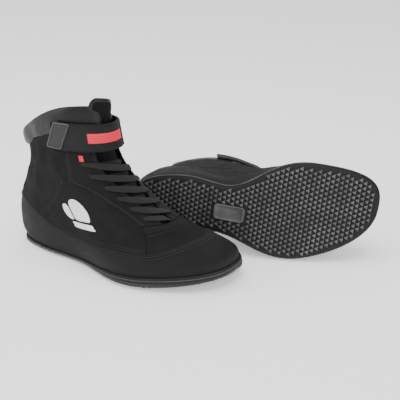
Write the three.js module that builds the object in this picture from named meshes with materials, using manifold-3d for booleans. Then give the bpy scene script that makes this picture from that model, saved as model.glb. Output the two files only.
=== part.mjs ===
// A pair of high-top boxing boots, millimetres, +Z up.
// The right boot stands upright: toe towards +X, its outer (lateral) side towards -Y.
// The left boot is its mirror image and lies on its lateral side beside it.
//
// Every panel lies on one surface, the "last": closed loops stacked from the sole edge to the collar.
// A point on it has a turn (0 at the back of the heel, pi at the toe, lateral side first)
// and a rise (0 at the sole edge, 1 at the top of the collar).

import * as THREE from 'three';
import { mergeVertices } from 'three/addons/utils/BufferGeometryUtils.js';
import Module from 'manifold-3d';

const wasm = await Module();
wasm.setup();

// ---- driving dimensions ----
const BOOT_LENGTH = 274;        // sole edge, heel to toe
const COLLAR_HEIGHT = 181;      // front of the collar above the floor
const HEEL_HALF_WIDTH = 34;
const BALL_HALF_WIDTH = 57;
const TOE_SHIFT = 29;           // toe lies this far to the medial side of the heel
const ARCH_DEPTH = 16;          // medial waist of the sole
const LEAN = 0.3;               // sideways tilt of the collar, height per width
const SOLE_THICKNESS = 6;       // at the heel
const TOE_SPRING = 11;          // toe of the sole above the floor
const RIM_THICKNESS = 1.8;      // rubber edge that wraps the upper
const PANEL_THICKNESS = 1.4;
const LINING_THICKNESS = 1.2;
const BOARD_THICKNESS = 1.8;
const SOCKLINER_THICKNESS = 3;
const TONGUE_THICKNESS = 4.5;
const COLLAR_THICKNESS = 9;
const STRAP_WIDTH = 30;
const STRAP_THICKNESS = 2;
const STRAP_HEIGHT = 150;       // middle of the strap above the floor
const STRAP_STANDOFF = 6;       // gap in front of the throat
const PATCH_THICKNESS = 1;      // hook patch and loop patch
const LACE_WIDTH = 7;
const LACE_THICKNESS = 1.3;
const EYELET_RADIUS = 2.8;
const EYELET_ROWS = 6;
const SEAM = 0.7;               // between neighbouring panels
const CLEARANCE = 0.35;         // between layers that lie on each other

// The frame's origin lies on the floor, this far in front of the back of the right heel.
const ORIGIN_FROM_HEEL = 60;

// Where the left boot lies.
const LEFT_BOOT = { x: 131, y: 43, yaw: 0.363, pitch: 0.103, roll: -1.739 };

// ---- the last: key values at equal steps of the rise, the last two above the collar ----
// X values are for a boot of MODEL_LENGTH, heights above the sole edge for one of MODEL_HEIGHT,
// and half widths are shares of the heel's and the ball's.
const MODEL_LENGTH = 274;
const MODEL_HEIGHT = 175;
const KEY_STEP = 0.1;
const FRONT_X = [274, 274, 256, 232, 208, 184, 163, 147, 138, 134, 131, 128, 126];
const FRONT_Z = [12, 30, 41, 50, 61, 75, 92, 110, 130, 152, 175, 192, 209];
const BACK_X = [6, 1, -1, 0, 2, 6, 13, 19, 21, 18, 14, 10, 6];
const BACK_Z = [0, 10, 24, 38, 52, 66, 81, 95, 108, 120, 131, 144, 157];
const HEEL_LOBE = [0.91, 1, 1.03, 1.03, 0.97, 0.94, 0.91, 0.85, 0.8, 0.765, 0.735, 0.735, 0.735];
const BALL_LOBE = [1, 0.98, 0.88, 0.755, 0.685, 0.63, 0.595, 0.545, 0.51, 0.475, 0.455, 0.455, 0.455];
const CROWN = [0, 0, 0, 0, 0, 0, 1, 3, 5, 7, 8, 8, 8];

// ---- layers, offsets from the last ----
const PANEL_OUT = PANEL_THICKNESS;
const COUNTER_OUT = -CLEARANCE - 0.25;
const COUNTER_IN = COUNTER_OUT - 0.8;
const LINING_OUT = COUNTER_IN - CLEARANCE - 1.1;
const LINING_IN = LINING_OUT - LINING_THICKNESS;
const LACE_UNDER = -CLEARANCE - 0.5 - LACE_THICKNESS;
const LACE_OVER = PANEL_OUT + CLEARANCE + 0.5 + LACE_THICKNESS / 2;
const TONGUE_OUT = LACE_UNDER - LACE_THICKNESS / 2 - CLEARANCE - 0.8;
const TONGUE_IN = TONGUE_OUT - TONGUE_THICKNESS;

// ---- mathematics ----
const clamp = (x, low, high) => Math.min(Math.max(x, low), high);

function smoothStep(low, high, x) {
  const t = clamp((x - low) / (high - low), 0, 1);
  return t * t * (3 - 2 * t);
}

// Uniform Catmull-Rom through key values or key vectors; s counts keys.
function throughKeys(keys, s) {
  const at = clamp(s, 0, keys.length - 1 - 1e-9);
  const i = Math.floor(at);
  const t = at - i;
  const p0 = keys[Math.max(i - 1, 0)];
  const p1 = keys[i];
  const p2 = keys[i + 1];
  const p3 = keys[Math.min(i + 2, keys.length - 1)];
  const blend = (a, b, c, d) =>
    0.5 * (2 * b + (c - a) * t + (2 * a - 5 * b + 4 * c - d) * t * t + (3 * b - a - 3 * c + d) * t ** 3);
  if (Array.isArray(p1)) {
    return p1.map((value, k) => blend(p0[k], value, p2[k], p3[k]));
  }
  return blend(p0, p1, p2, p3);
}

const alongKeys = (keys, t) => throughKeys(keys, t * (keys.length - 1));
const atRise = (keys, rise) => throughKeys(keys, rise / KEY_STEP);

// Half width of the loop at a rise, at share p of its length, on one side (-1 lateral, 1 medial).
function halfWidth(rise, p, side) {
  const low = clamp(1 - rise, 0, 1) ** 2;
  const ball = smoothStep(0.25, 0.73, p);
  const heelPart = HEEL_HALF_WIDTH * atRise(HEEL_LOBE, rise) * (1 - ball);
  const ballPart = BALL_HALF_WIDTH * atRise(BALL_LOBE, rise) * ball;
  const waist = ARCH_DEPTH * Math.exp(-(((p - 0.42) / 0.14) ** 2)) * low;
  return heelPart + ballPart - waist * (side < 0 ? 0.35 : 1);
}

const endRoundness = (rise) => 0.75 + 0.25 * clamp(rise, 0, 1);

function lastPoint(turn, rise) {
  const p = (1 - Math.cos(turn)) / 2;
  const side = Math.sin(turn) >= 0 ? -1 : 1;
  const low = clamp(1 - rise, 0, 1);
  const long = BOOT_LENGTH / MODEL_LENGTH;
  const tall = (COLLAR_HEIGHT - SOLE_THICKNESS) / MODEL_HEIGHT;
  const backX = long * atRise(BACK_X, rise);
  const frontX = long * atRise(FRONT_X, rise);
  const backZ = SOLE_THICKNESS + tall * atRise(BACK_Z, rise);
  const frontZ = SOLE_THICKNESS + tall * atRise(FRONT_Z, rise);
  const round = Math.abs(Math.sin(turn)) ** endRoundness(rise);
  const y = TOE_SHIFT * (p * low) ** 3 + side * halfWidth(rise, p, side) * round;
  const slope = p ** (1 + 2 * low * low);
  const crown = tall * atRise(CROWN, rise) * Math.sin(Math.PI * p);
  const tilt = LEAN * y * smoothStep(0.55, 1, rise);
  const z = backZ + (frontZ - backZ) * slope + crown - tilt;
  return new THREE.Vector3(backX + (frontX - backX) * p, y, z);
}

function lastNormal(turn, rise) {
  const step = 0.004;
  const low = Math.max(rise - step, 0);
  const around = lastPoint(turn + step, rise).sub(lastPoint(turn - step, rise));
  const up = lastPoint(turn, rise + step).sub(lastPoint(turn, low));
  return around.cross(up).normalize();
}

const onLast = (turn, rise, out) => lastPoint(turn, rise).addScaledVector(lastNormal(turn, rise), out);

// Point over the last at a turn and a height above the floor, at least at the lowest rise given.
function atHeight(turn, z, out, lowest = 0.4) {
  let low = lowest;
  let high = 1.15;
  for (let i = 0; i < 26; i += 1) {
    const middle = (low + high) / 2;
    if (lastPoint(turn, middle).z < z) {
      low = middle;
    } else {
      high = middle;
    }
  }
  return onLast(turn, (low + high) / 2, out);
}

// ---- closed solids ----
// Every builder lists vertices and triangles of one closed body. All its triangles run the same
// way round; they are reversed together when the enclosed volume comes out negative.
function geometryOf(points, triangles) {
  let volume = 0;
  for (let i = 0; i < triangles.length; i += 3) {
    const [a, b, c] = triangles.slice(i, i + 3).map((index) => points[index]);
    volume += a.dot(b.clone().cross(c));
  }
  if (volume < 0) {
    triangles.reverse();
  }
  const geometry = new THREE.BufferGeometry();
  const flat = points.flatMap((p) => [p.x, p.y, p.z]);
  geometry.setAttribute('position', new THREE.Float32BufferAttribute(flat, 3));
  geometry.setIndex(triangles);
  return geometry;
}

// Rings of equal length joined one after another. The last ring joins the first
// when looped, or both ends are closed by a ladder between the two halves of the ring.
function ringSolid(rings, looped = false) {
  const count = rings[0].length;
  const points = rings.flat();
  const triangles = [];
  const links = looped ? rings.length : rings.length - 1;
  for (let r = 0; r < links; r += 1) {
    const next = (r + 1) % rings.length;
    for (let i = 0; i < count; i += 1) {
      const j = (i + 1) % count;
      const a = r * count + i;
      const b = r * count + j;
      const c = next * count + j;
      const d = next * count + i;
      triangles.push(a, b, c, a, c, d);
    }
  }
  if (!looped) {
    const ladder = (start, flip) => {
      for (let i = 0; i < count / 2; i += 1) {
        const a = start + i;
        const b = start + i + 1;
        const c = start + ((count - i - 1) % count);
        const d = start + ((count - i) % count);
        const faces = i === 0 ? [a, b, c] : [a, b, c, a, c, d];
        const kept = i === count / 2 - 1 ? [a, b, d] : faces;
        for (let k = 0; k < kept.length; k += 3) {
          triangles.push(kept[k], flip ? kept[k + 2] : kept[k + 1], flip ? kept[k + 1] : kept[k + 2]);
        }
      }
    };
    ladder(0, true);
    ladder((rings.length - 1) * count, false);
  }
  return geometryOf(points, triangles);
}

// A sheet with a front grid and a back grid, closed along its four edges.
function sheetSolid(front, back) {
  const rows = front.length;
  const columns = front[0].length;
  const points = [...front.flat(), ...back.flat()];
  const half = rows * columns;
  const triangles = [];
  const quad = (a, b, c, d) => triangles.push(a, b, c, a, c, d);
  const f = (r, c) => r * columns + c;
  const g = (r, c) => half + r * columns + c;
  for (let r = 0; r < rows - 1; r += 1) {
    for (let c = 0; c < columns - 1; c += 1) {
      quad(f(r, c), f(r, c + 1), f(r + 1, c + 1), f(r + 1, c));
      quad(g(r, c), g(r + 1, c), g(r + 1, c + 1), g(r, c + 1));
    }
  }
  for (let c = 0; c < columns - 1; c += 1) {
    quad(g(0, c), g(0, c + 1), f(0, c + 1), f(0, c));
    quad(f(rows - 1, c), f(rows - 1, c + 1), g(rows - 1, c + 1), g(rows - 1, c));
  }
  for (let r = 0; r < rows - 1; r += 1) {
    quad(f(r, 0), f(r + 1, 0), g(r + 1, 0), g(r, 0));
    quad(g(r, columns - 1), g(r + 1, columns - 1), f(r + 1, columns - 1), f(r, columns - 1));
  }
  return geometryOf(points, triangles);
}

// Sections of equal length joined along a path, with a fan on each end.
function sweptSolid(sections) {
  const count = sections[0].length;
  const points = sections.flat();
  const triangles = [];
  for (let s = 0; s < sections.length - 1; s += 1) {
    for (let i = 0; i < count; i += 1) {
      const j = (i + 1) % count;
      const a = s * count + i;
      const b = s * count + j;
      const c = (s + 1) * count + j;
      const d = (s + 1) * count + i;
      triangles.push(a, b, c, a, c, d);
    }
  }
  const end = (sections.length - 1) * count;
  for (let i = 1; i < count - 1; i += 1) {
    triangles.push(0, i + 1, i);
    triangles.push(end, end + i, end + i + 1);
  }
  return geometryOf(points, triangles);
}

function toSolid(geometry) {
  const mesh = new wasm.Mesh({
    numProp: 3,
    vertProperties: new Float32Array(geometry.getAttribute('position').array),
    triVerts: new Uint32Array(geometry.getIndex().array),
  });
  return new wasm.Manifold(mesh);
}

function fromSolid(solid) {
  const mesh = solid.getMesh();
  const geometry = new THREE.BufferGeometry();
  geometry.setAttribute('position', new THREE.BufferAttribute(new Float32Array(mesh.vertProperties), 3));
  geometry.setIndex(new THREE.BufferAttribute(new Uint32Array(mesh.triVerts), 1));
  return geometry;
}

// One body whose faces share their corners.
function merged(geometry) {
  const bare = geometry.clone();
  bare.deleteAttribute('normal');
  bare.deleteAttribute('uv');
  return mergeVertices(bare, 1e-4);
}

function cutAll(geometry, tools) {
  const solid = tools.reduce((rest, tool) => rest.subtract(toSolid(tool)), toSolid(geometry));
  return fromSolid(solid);
}

// ---- the throat ----
const THROAT_Y = -2;            // middle line of the throat
const THROAT_BOTTOM = 0.383;
const THROAT_HALF_WIDTH = [6, 7, 9, 12, 15, 16, 16, 16];
const EYELET_HALF_WIDTH = [13.5, 15.5, 17.5, 20, 23, 23.5];
const EYELET_LOW = 0.425;
const EYELET_HIGH = 0.725;
const COLLAR_LINE = 0.85;       // top of the panels, where the collar pad begins

// Turn of the point of the front half whose y is given, at a rise.
function turnAtY(y, rise) {
  let low = Math.PI / 2;
  let high = 1.5 * Math.PI;
  for (let i = 0; i < 30; i += 1) {
    const middle = (low + high) / 2;
    if (lastPoint(middle, rise).y < y) {
      low = middle;
    } else {
      high = middle;
    }
  }
  return (low + high) / 2;
}

const besideThroat = (u, rise) => turnAtY(THROAT_Y + u, rise);

// ---- seams. A seam point is [share of the side from back (0) to front (1), rise]. ----
const RAND_TOP = [0.44, 0.435, 0.415, 0.35, 0.255, 0.222, 0.215, 0.19, 0.222, 0.245, 0.248];
const randTop = (share) => alongKeys(RAND_TOP, share);
const QUARTER_TOP = [
  [0.522, 0.64], [0.567, 0.63], [0.647, 0.607], [0.703, 0.563], [0.742, 0.513], [0.772, 0.457], [0.783, 0.383],
];
const quarterTop = (t) => alongKeys(QUARTER_TOP, t);
const QUARTER_REAR_SHARE = 0.31;
const QUARTER_FRONT_SHARE = 0.7;
const FACING_BEND = 1 / 6;      // part of the quarter's top seam that borders the ankle panel
const FACING_TOP = [0.585, COLLAR_LINE];

// The same seam on the medial side: near the throat it mirrors the lateral y, elsewhere the share.
function seamTurn(side, share, rise) {
  const turn = Math.PI * share;
  if (side < 0) {
    return turn;
  }
  const mirrored = turnAtY(2 * THROAT_Y - lastPoint(turn, rise).y, rise);
  const near = smoothStep(0.62, 0.78, share);
  return (2 * Math.PI - turn) * (1 - near) + mirrored * near;
}

// Rear edge of the eyestay, from its front end to its top.
function facingRear(t) {
  const bend = 0.55;
  if (t < bend) {
    return quarterTop(1 - (1 - FACING_BEND) * (t / bend));
  }
  const start = quarterTop(FACING_BEND);
  const w = (t - bend) / (1 - bend);
  return [start[0] + (FACING_TOP[0] - start[0]) * w, start[1] + (FACING_TOP[1] - start[1]) * w];
}

// A panel between two edges. Each edge maps t to [turn, rise]; the panel keeps half
// a seam's width from both edges and from its two ends.
function panelGrid(lowEdge, highEdge, columns, rows, out) {
  const grid = Array.from({ length: rows + 1 }, () => []);
  const middleLength = lastPoint(...lowEdge(0.5)).distanceTo(lastPoint(...lowEdge(0.45))) / 0.05;
  const trim = SEAM / middleLength;
  for (let c = 0; c <= columns; c += 1) {
    const t = trim + (1 - 2 * trim) * (c / columns);
    const low = lowEdge(t);
    const high = highEdge(t);
    const span = lastPoint(...low).distanceTo(lastPoint(...high));
    const inset = Math.min(SEAM / 2 / span, 0.4);
    for (let r = 0; r <= rows; r += 1) {
      const w = inset + ((1 - 2 * inset) * r) / rows;
      grid[r].push(onLast(low[0] + (high[0] - low[0]) * w, low[1] + (high[1] - low[1]) * w, out));
    }
  }
  return grid;
}

function panelSolid(lowEdge, highEdge, columns, rows, layer) {
  const outer = panelGrid(lowEdge, highEdge, columns, rows, layer[1]);
  const inner = panelGrid(lowEdge, highEdge, columns, rows, layer[0]);
  return sheetSolid(outer, inner);
}

const PANEL_LAYER = [0, PANEL_OUT];
const RING_STEPS = 48;
const ringTurns = Array.from({ length: RING_STEPS }, (_, i) => (2 * Math.PI * i) / RING_STEPS);
const shareOf = (turn) => 1 - Math.abs(turn - Math.PI) / Math.PI;

// ---- bottom ----
const springAt = (turn) => {
  const p = (1 - Math.cos(turn)) / 2;
  return TOE_SPRING * (Math.max(p - 0.62, 0) / 0.38) ** 2;
};

// Sole outline drawn in by a margin, at a height worked out from its turn and its own height.
function soleRing(margin, heightAt) {
  return ringTurns.map((turn) => {
    const edge = lastPoint(turn, 0);
    const height = heightAt(turn, edge.z);
    const normal = lastNormal(turn, 0).setZ(0).normalize();
    return edge.addScaledVector(normal, -margin).setZ(height);
  });
}

// How far the rubber edge climbs the upper: a trace at the heel, more round the forefoot.
const rimRise = (turn) => 0.012 + 0.03 * smoothStep(0.35, 0.6, (1 - Math.cos(turn)) / 2);
const SOLE_BED = 1;             // the bed lies this far under the sole edge

function outsole() {
  const inner = PANEL_OUT + CLEARANCE;
  const outer = inner + RIM_THICKNESS;
  const bottom = soleRing(5, springAt);
  const edge = soleRing(-1, (turn) => springAt(turn) + 1.6);
  const side = soleRing(-outer, (turn, z) => (springAt(turn) + 1.6 + z) / 2);
  const rimOut = ringTurns.map((turn) => onLast(turn, rimRise(turn), outer));
  const rimIn = ringTurns.map((turn) => onLast(turn, rimRise(turn), inner));
  const rimLow = ringTurns.map((turn) => onLast(turn, 0, inner));
  const seat = rimLow.map((point) => point.clone().setZ(point.z - SOLE_BED));
  const bed = soleRing(5, (turn, z) => z - SOLE_BED);
  return ringSolid([bottom, edge, side, rimOut, rimIn, rimLow, seat, bed]);
}

const FOOT_MARGIN = 3;        // between the lining and the layers under the foot

// A flat layer inside the lining, between two heights over the bed.
function footLayer(bottom, top) {
  const ring = (lift) => ringTurns.map((turn) => {
    const z = lastPoint(turn, 0).z - SOLE_BED + lift;
    return atHeight(turn, lastPoint(turn, 0).z - SOLE_BED + top, LINING_IN - FOOT_MARGIN, 0).setZ(z);
  });
  return ringSolid([ring(bottom), ring(top)]);
}

const boardTop = CLEARANCE + BOARD_THICKNESS;
const insoleBoard = () => footLayer(CLEARANCE, boardTop);
const sockliner = () => footLayer(boardTop + CLEARANCE, boardTop + CLEARANCE + SOCKLINER_THICKNESS);

// ---- upper ----
// Rows of the rand: -1 its lower edge, 0 the top of the rubber edge, 1 its own top.
const RAND_ROWS = [-1, 0, 0.36, 0.7, 1];

function randRise(turn, w) {
  const gap = 0.003;
  const rim = rimRise(turn);
  const top = randTop(shareOf(turn)) - gap;
  return w < 0 ? gap : rim + (top - rim) * w;
}

function rand() {
  const outer = RAND_ROWS.map((w) => ringTurns.map((turn) => onLast(turn, randRise(turn, w), PANEL_OUT)));
  const inner = RAND_ROWS.map((w) => ringTurns.map((turn) => onLast(turn, randRise(turn, w), 0)));
  return ringSolid([...outer, ...inner.reverse()], true);
}

// The vamp crosses the front between the toe part of the rand and the bottom of the throat.
function vamp() {
  const low = (t) => {
    const share = 1 - (1 - QUARTER_FRONT_SHARE) * Math.abs(2 * t - 1);
    return [t < 0.5 ? Math.PI * share : Math.PI * (2 - share), randTop(share)];
  };
  const start = seamTurn(-1, ...quarterTop(1));
  const end = seamTurn(1, ...quarterTop(1));
  const high = (t) => [start + (end - start) * t, THROAT_BOTTOM];
  return panelSolid(low, high, 20, 4, PANEL_LAYER);
}

function quarter(side) {
  const low = (t) => {
    const share = QUARTER_REAR_SHARE + (QUARTER_FRONT_SHARE - QUARTER_REAR_SHARE) * t;
    return [side < 0 ? Math.PI * share : Math.PI * (2 - share), randTop(share)];
  };
  const high = (t) => {
    const [share, rise] = quarterTop(t);
    return [seamTurn(side, share, rise), rise];
  };
  return panelSolid(low, high, 12, 4, PANEL_LAYER);
}

// Ankle panel: round the back of the heel, between both eyestays, up to the collar.
function anklePanel() {
  const alongRand = 0.4;
  const upRear = 0.3;
  const lowOfSide = (t) => {
    if (t < alongRand) {
      const share = (QUARTER_REAR_SHARE * t) / alongRand;
      return [share, randTop(share)];
    }
    if (t < alongRand + upRear) {
      const w = (t - alongRand) / upRear;
      const [share, rise] = quarterTop(0);
      const start = randTop(QUARTER_REAR_SHARE);
      return [QUARTER_REAR_SHARE + (share - QUARTER_REAR_SHARE) * w, start + (rise - start) * w];
    }
    return quarterTop((FACING_BEND * (t - alongRand - upRear)) / (1 - alongRand - upRear));
  };
  const both = (point) => (t) => {
    const side = t < 0.5 ? -1 : 1;
    const [share, rise] = point(Math.abs(1 - 2 * t));
    const turn = seamTurn(side, share, rise);
    return [side < 0 ? turn : turn - 2 * Math.PI, rise];
  };
  const low = both(lowOfSide);
  const high = both((t) => [FACING_TOP[0] * t, COLLAR_LINE]);
  return panelSolid(low, high, 34, 4, PANEL_LAYER);
}

const eyeletRise = (row) => EYELET_LOW + ((EYELET_HIGH - EYELET_LOW) * row) / (EYELET_ROWS - 1);
const eyeletReach = (row) => alongKeys(EYELET_HALF_WIDTH, row / (EYELET_ROWS - 1));

// A round punch through the eyestay, along the normal of the last.
function punch(side, row) {
  const rise = eyeletRise(row);
  const turn = besideThroat(side * eyeletReach(row), rise);
  const normal = lastNormal(turn, rise);
  const geometry = new THREE.CylinderGeometry(EYELET_RADIUS, EYELET_RADIUS, 8, 10);
  geometry.applyQuaternion(new THREE.Quaternion().setFromUnitVectors(new THREE.Vector3(0, 1, 0), normal));
  const centre = onLast(turn, rise, PANEL_OUT / 2);
  geometry.translate(centre.x, centre.y, centre.z);
  return merged(geometry);
}

function eyestay(side) {
  const rear = (t) => {
    const [share, rise] = facingRear(t);
    return [seamTurn(side, share, rise), rise];
  };
  const edge = (t) => {
    const rise = THROAT_BOTTOM + (COLLAR_LINE - THROAT_BOTTOM) * t;
    return [besideThroat(side * alongKeys(THROAT_HALF_WIDTH, t), rise), rise];
  };
  const trimmed = (point) => (t) => point(0.004 + 0.992 * t);
  const outer = panelGrid(trimmed(rear), trimmed(edge), 16, 3, PANEL_OUT);
  const inner = panelGrid(trimmed(rear), trimmed(edge), 16, 3, 0);
  return cutAll(sheetSolid(outer, inner), Array.from({ length: EYELET_ROWS }, (_, row) => punch(side, row)));
}

// Lining: one sleeve from the lateral to the medial edge of the throat, closed to a slit below it.
function lining() {
  const rows = 10;
  const columns = 30;
  const grid = (out) => {
    const lines = [];
    for (let r = 0; r <= rows; r += 1) {
      const rise = 0.02 + ((COLLAR_LINE - 0.025 - 0.02) * r) / rows;
      const open = smoothStep(0.3, 0.37, rise);
      const reach = alongKeys(EYELET_HALF_WIDTH, clamp((rise - EYELET_LOW) / (EYELET_HIGH - EYELET_LOW), 0, 1));
      const gap = 0.6 + (reach + EYELET_RADIUS + 1.3 * LACE_WIDTH) * open;
      const middle = Math.PI * (1 - open) + besideThroat(0, rise) * open;
      const centre = lastPoint(middle, rise).y;
      const start = turnAtY(centre - gap, rise);
      const end = turnAtY(centre + gap, rise) - 2 * Math.PI;
      const line = [];
      for (let c = 0; c <= columns; c += 1) {
        line.push(onLast(start + ((end - start) * c) / columns, rise, out));
      }
      lines.push(line);
    }
    return lines;
  };
  return sheetSolid(grid(LINING_IN), grid(LINING_OUT));
}

// Stiffeners between the lining and the rand. They share the rand's rows and ring steps,
// from one ring step to another, and stop short of its top.
function stiffener(firstStep, lastStep) {
  const grid = (out) => RAND_ROWS.slice(1, -1).map((w) => {
    const line = [];
    for (let i = firstStep; i <= lastStep; i += 1) {
      const turn = (2 * Math.PI * i) / RING_STEPS;
      line.push(onLast(turn, randRise((turn + 2 * Math.PI) % (2 * Math.PI), w), out));
    }
    return line;
  });
  return sheetSolid(grid(COUNTER_OUT), grid(COUNTER_IN));
}

const heelCounter = () => stiffener(-7, 7);
const toePuff = () => stiffener(19, 29);

// Padded roll on top of the panels. It is thin where it meets the tongue.
function collarPad() {
  const steps = 30;
  const reach = 0.88;
  const sides = 8;
  const sections = [];
  for (let s = 0; s <= steps; s += 1) {
    const turn = Math.PI * reach * (1 - (2 * s) / steps);
    const share = Math.abs(turn) / Math.PI;
    const low = lastPoint(turn, COLLAR_LINE + 0.008);
    const high = lastPoint(turn, 1);
    const middleRise = (COLLAR_LINE + 0.008 + 1) / 2;
    const normal = lastNormal(turn, middleRise);
    const up = high.clone().sub(low);
    const thick = COLLAR_THICKNESS * (1 - smoothStep(0.5, 0.68, share)) + 3.6 * smoothStep(0.5, 0.68, share);
    const behind = 3 * (1 - smoothStep(0.1, 0.3, share));
    const outer = 1 + behind;
    const centre = low.clone().add(high).multiplyScalar(0.5).addScaledVector(normal, outer - thick / 2);
    const ring = [];
    for (let k = 0; k < sides; k += 1) {
      const angle = (2 * Math.PI * k) / sides;
      const across = normal.clone().multiplyScalar((Math.cos(angle) * thick) / 2);
      ring.push(centre.clone().add(across).addScaledVector(up, Math.sin(angle) / 2));
    }
    sections.push(ring);
  }
  return sweptSolid(sections);
}

const TONGUE_LOW = 0.4;
const TONGUE_HIGH = 1.08;
const TONGUE_REACH = 0.25;      // half of its spread round the last at the top, in half turns
const TONGUE_REACH_LOW = 0.165;
const tongueMiddle = (rise) => besideThroat(0, rise);

function tongue() {
  const lowEdge = (t) => [tongueMiddle(TONGUE_LOW) + TONGUE_REACH_LOW * Math.PI * (2 * t - 1), TONGUE_LOW];
  const highEdge = (t) => [tongueMiddle(TONGUE_HIGH) + TONGUE_REACH * Math.PI * (2 * t - 1), TONGUE_HIGH];
  return panelSolid(lowEdge, highEdge, 14, 10, [TONGUE_IN, TONGUE_OUT]);
}

function tongueBinding() {
  const steps = 12;
  const sides = 8;
  const radius = TONGUE_THICKNESS / 2 + 0.4;
  const rise = TONGUE_HIGH + 0.014;
  const sections = [];
  for (let s = 0; s <= steps; s += 1) {
    const turn = tongueMiddle(rise) + TONGUE_REACH * Math.PI * (1 - (2 * s) / steps);
    const centre = onLast(turn, rise, (TONGUE_IN + TONGUE_OUT) / 2);
    const normal = lastNormal(turn, rise);
    const up = lastPoint(turn, rise + 0.02).sub(lastPoint(turn, rise - 0.02)).normalize();
    const ring = [];
    for (let k = 0; k < sides; k += 1) {
      const angle = (2 * Math.PI * k) / sides;
      const point = centre.clone().addScaledVector(normal, Math.cos(angle) * radius);
      ring.push(point.addScaledVector(up, Math.sin(angle) * radius * 0.8));
    }
    sections.push(ring);
  }
  return sweptSolid(sections);
}

// ---- lace ----
// Route of the lace as [u beside the throat, row, offset from the last, share of the full width].
// It comes up through a medial eyelet, crosses over both eyestays to the next lateral eyelet,
// goes in, and returns inside to the medial eyelet of the same row. Both ends are tucked in.
function laceRoute() {
  const route = [[9.5, -0.52, LACE_UNDER, 0.6], [7.4, -0.5, LACE_UNDER, 0.7],
    [4, -0.42, LACE_OVER * 0.3, 0.8], [0, -0.3, LACE_OVER, 0.9], [-6.5, -0.12, LACE_OVER, 0.8]];
  const over = (row) => {
    const start = eyeletReach(row);
    const end = eyeletReach(row + 1);
    const at = (w) => [start - (start + end) * w, row + w, LACE_OVER, 1 - 0.4 * Math.abs(2 * w - 1) ** 3];
    route.push(...[0.2, 0.4, 0.6, 0.8].map(at));
  };
  const through = (side, row, inwards) => {
    const reach = eyeletReach(row);
    const knots = [
      [side * (reach - 0.9), row, LACE_OVER, 0.56],
      [side * (reach + 0.5), row, (LACE_UNDER + LACE_OVER) / 2, 0.46],
      [side * (reach - 0.9), row, LACE_UNDER, 0.56],
    ];
    route.push(...(inwards ? knots : knots.reverse()));
  };
  const under = (row) => {
    const reach = eyeletReach(row);
    route.push(...[-0.65, -0.35, 0, 0.35, 0.65].map((w) => [w * reach, row, LACE_UNDER, 1 - w * w]));
  };
  for (let row = 0; row < EYELET_ROWS; row += 1) {
    through(-1, row, true);
    under(row);
    if (row < EYELET_ROWS - 1) {
      through(1, row, false);
      over(row);
    }
  }
  return route;
}

function lace() {
  const spacing = (EYELET_HIGH - EYELET_LOW) / (EYELET_ROWS - 1);
  const corners = [[-1, 0], [-0.6, -0.5], [0.6, -0.5], [1, 0], [0.6, 0.5], [-0.6, 0.5]];
  const route = laceRoute();
  const centres = route.map(([u, row, out]) => {
    const rise = EYELET_LOW + spacing * row;
    return onLast(besideThroat(u, rise), rise, out);
  });
  const sections = route.map(([u, row, , share], i) => {
    const rise = EYELET_LOW + spacing * row;
    const turn = besideThroat(u, rise);
    const up = lastPoint(turn, rise + 0.01).sub(lastPoint(turn, rise - 0.01)).normalize();
    const next = centres[Math.min(i + 1, centres.length - 1)];
    const tangent = next.clone().sub(centres[Math.max(i - 1, 0)]).normalize();
    const across = up.addScaledVector(tangent, -up.dot(tangent)).normalize();
    const thick = tangent.clone().cross(across);
    const half = (LACE_WIDTH * share) / 2;
    return corners.map(([a, b]) =>
      centres[i].clone().addScaledVector(across, a * half).addScaledVector(thick, b * LACE_THICKNESS));
  });
  return sweptSolid(sections);
}

// ---- ankle strap ----
const LOOP_IN = PANEL_OUT + CLEARANCE;
const HOOK_IN = LOOP_IN + PATCH_THICKNESS + CLEARANCE;
const FLAP_IN = HOOK_IN + PATCH_THICKNESS + CLEARANCE;
const HINGE_SHARE = 1.1;        // where the strap bends at the medial edge of the tongue, in half turns
const FLAP_END_SHARE = 0.42;
const ANCHOR_END_SHARE = 1.52;
const HINGE_GAP = 0.4;

function strapInner(share) {
  const front = STRAP_STANDOFF - FLAP_IN;
  const sewn = PANEL_OUT + CLEARANCE - STRAP_STANDOFF;
  return FLAP_IN + front * smoothStep(0.72, 1, share) + sewn * smoothStep(1.12, 1.34, share);
}

// A band round the shaft between two shares, at heights from low to high, as a solid of its own.
// slant moves its first end back towards the top.
function band(start, end, columns, heights, innerOf, thickness, slant = 0) {
  const grid = (extra) => heights.map((z, r) => {
    const line = [];
    for (let c = 0; c <= columns; c += 1) {
      const first = start + slant * (r / (heights.length - 1));
      const share = first + ((end - first) * c) / columns;
      line.push(atHeight(Math.PI * share, z, innerOf(share) + extra));
    }
    return line;
  });
  return sheetSolid(grid(thickness), grid(0));
}

const strapHeights = (margin) => {
  const half = STRAP_WIDTH / 2 - margin;
  return [STRAP_HEIGHT - half, STRAP_HEIGHT, STRAP_HEIGHT + half];
};

const hingeGapShare = HINGE_GAP / (Math.PI * 26);
const strapFlap = () =>
  band(FLAP_END_SHARE, HINGE_SHARE - hingeGapShare, 26, strapHeights(0), strapInner, STRAP_THICKNESS, 0.08);
const strapAnchor = () =>
  band(HINGE_SHARE + hingeGapShare, ANCHOR_END_SHARE, 14, strapHeights(0), strapInner, STRAP_THICKNESS);
const loopPatch = () =>
  band(0.5, 0.76, 10, [STRAP_HEIGHT - STRAP_WIDTH / 2 - 4, STRAP_HEIGHT, STRAP_HEIGHT + 12],
    () => LOOP_IN, PATCH_THICKNESS);
const hookPatch = () => band(0.5, 0.74, 10, strapHeights(2.5), () => HOOK_IN, PATCH_THICKNESS, 0.04);
const onFlap = (share) => strapInner(share) + STRAP_THICKNESS + CLEARANCE + 0.15;
const strapTip = () => band(FLAP_END_SHARE, 0.53, 6, strapHeights(0.4), onFlap, 1, 0.08);
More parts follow.
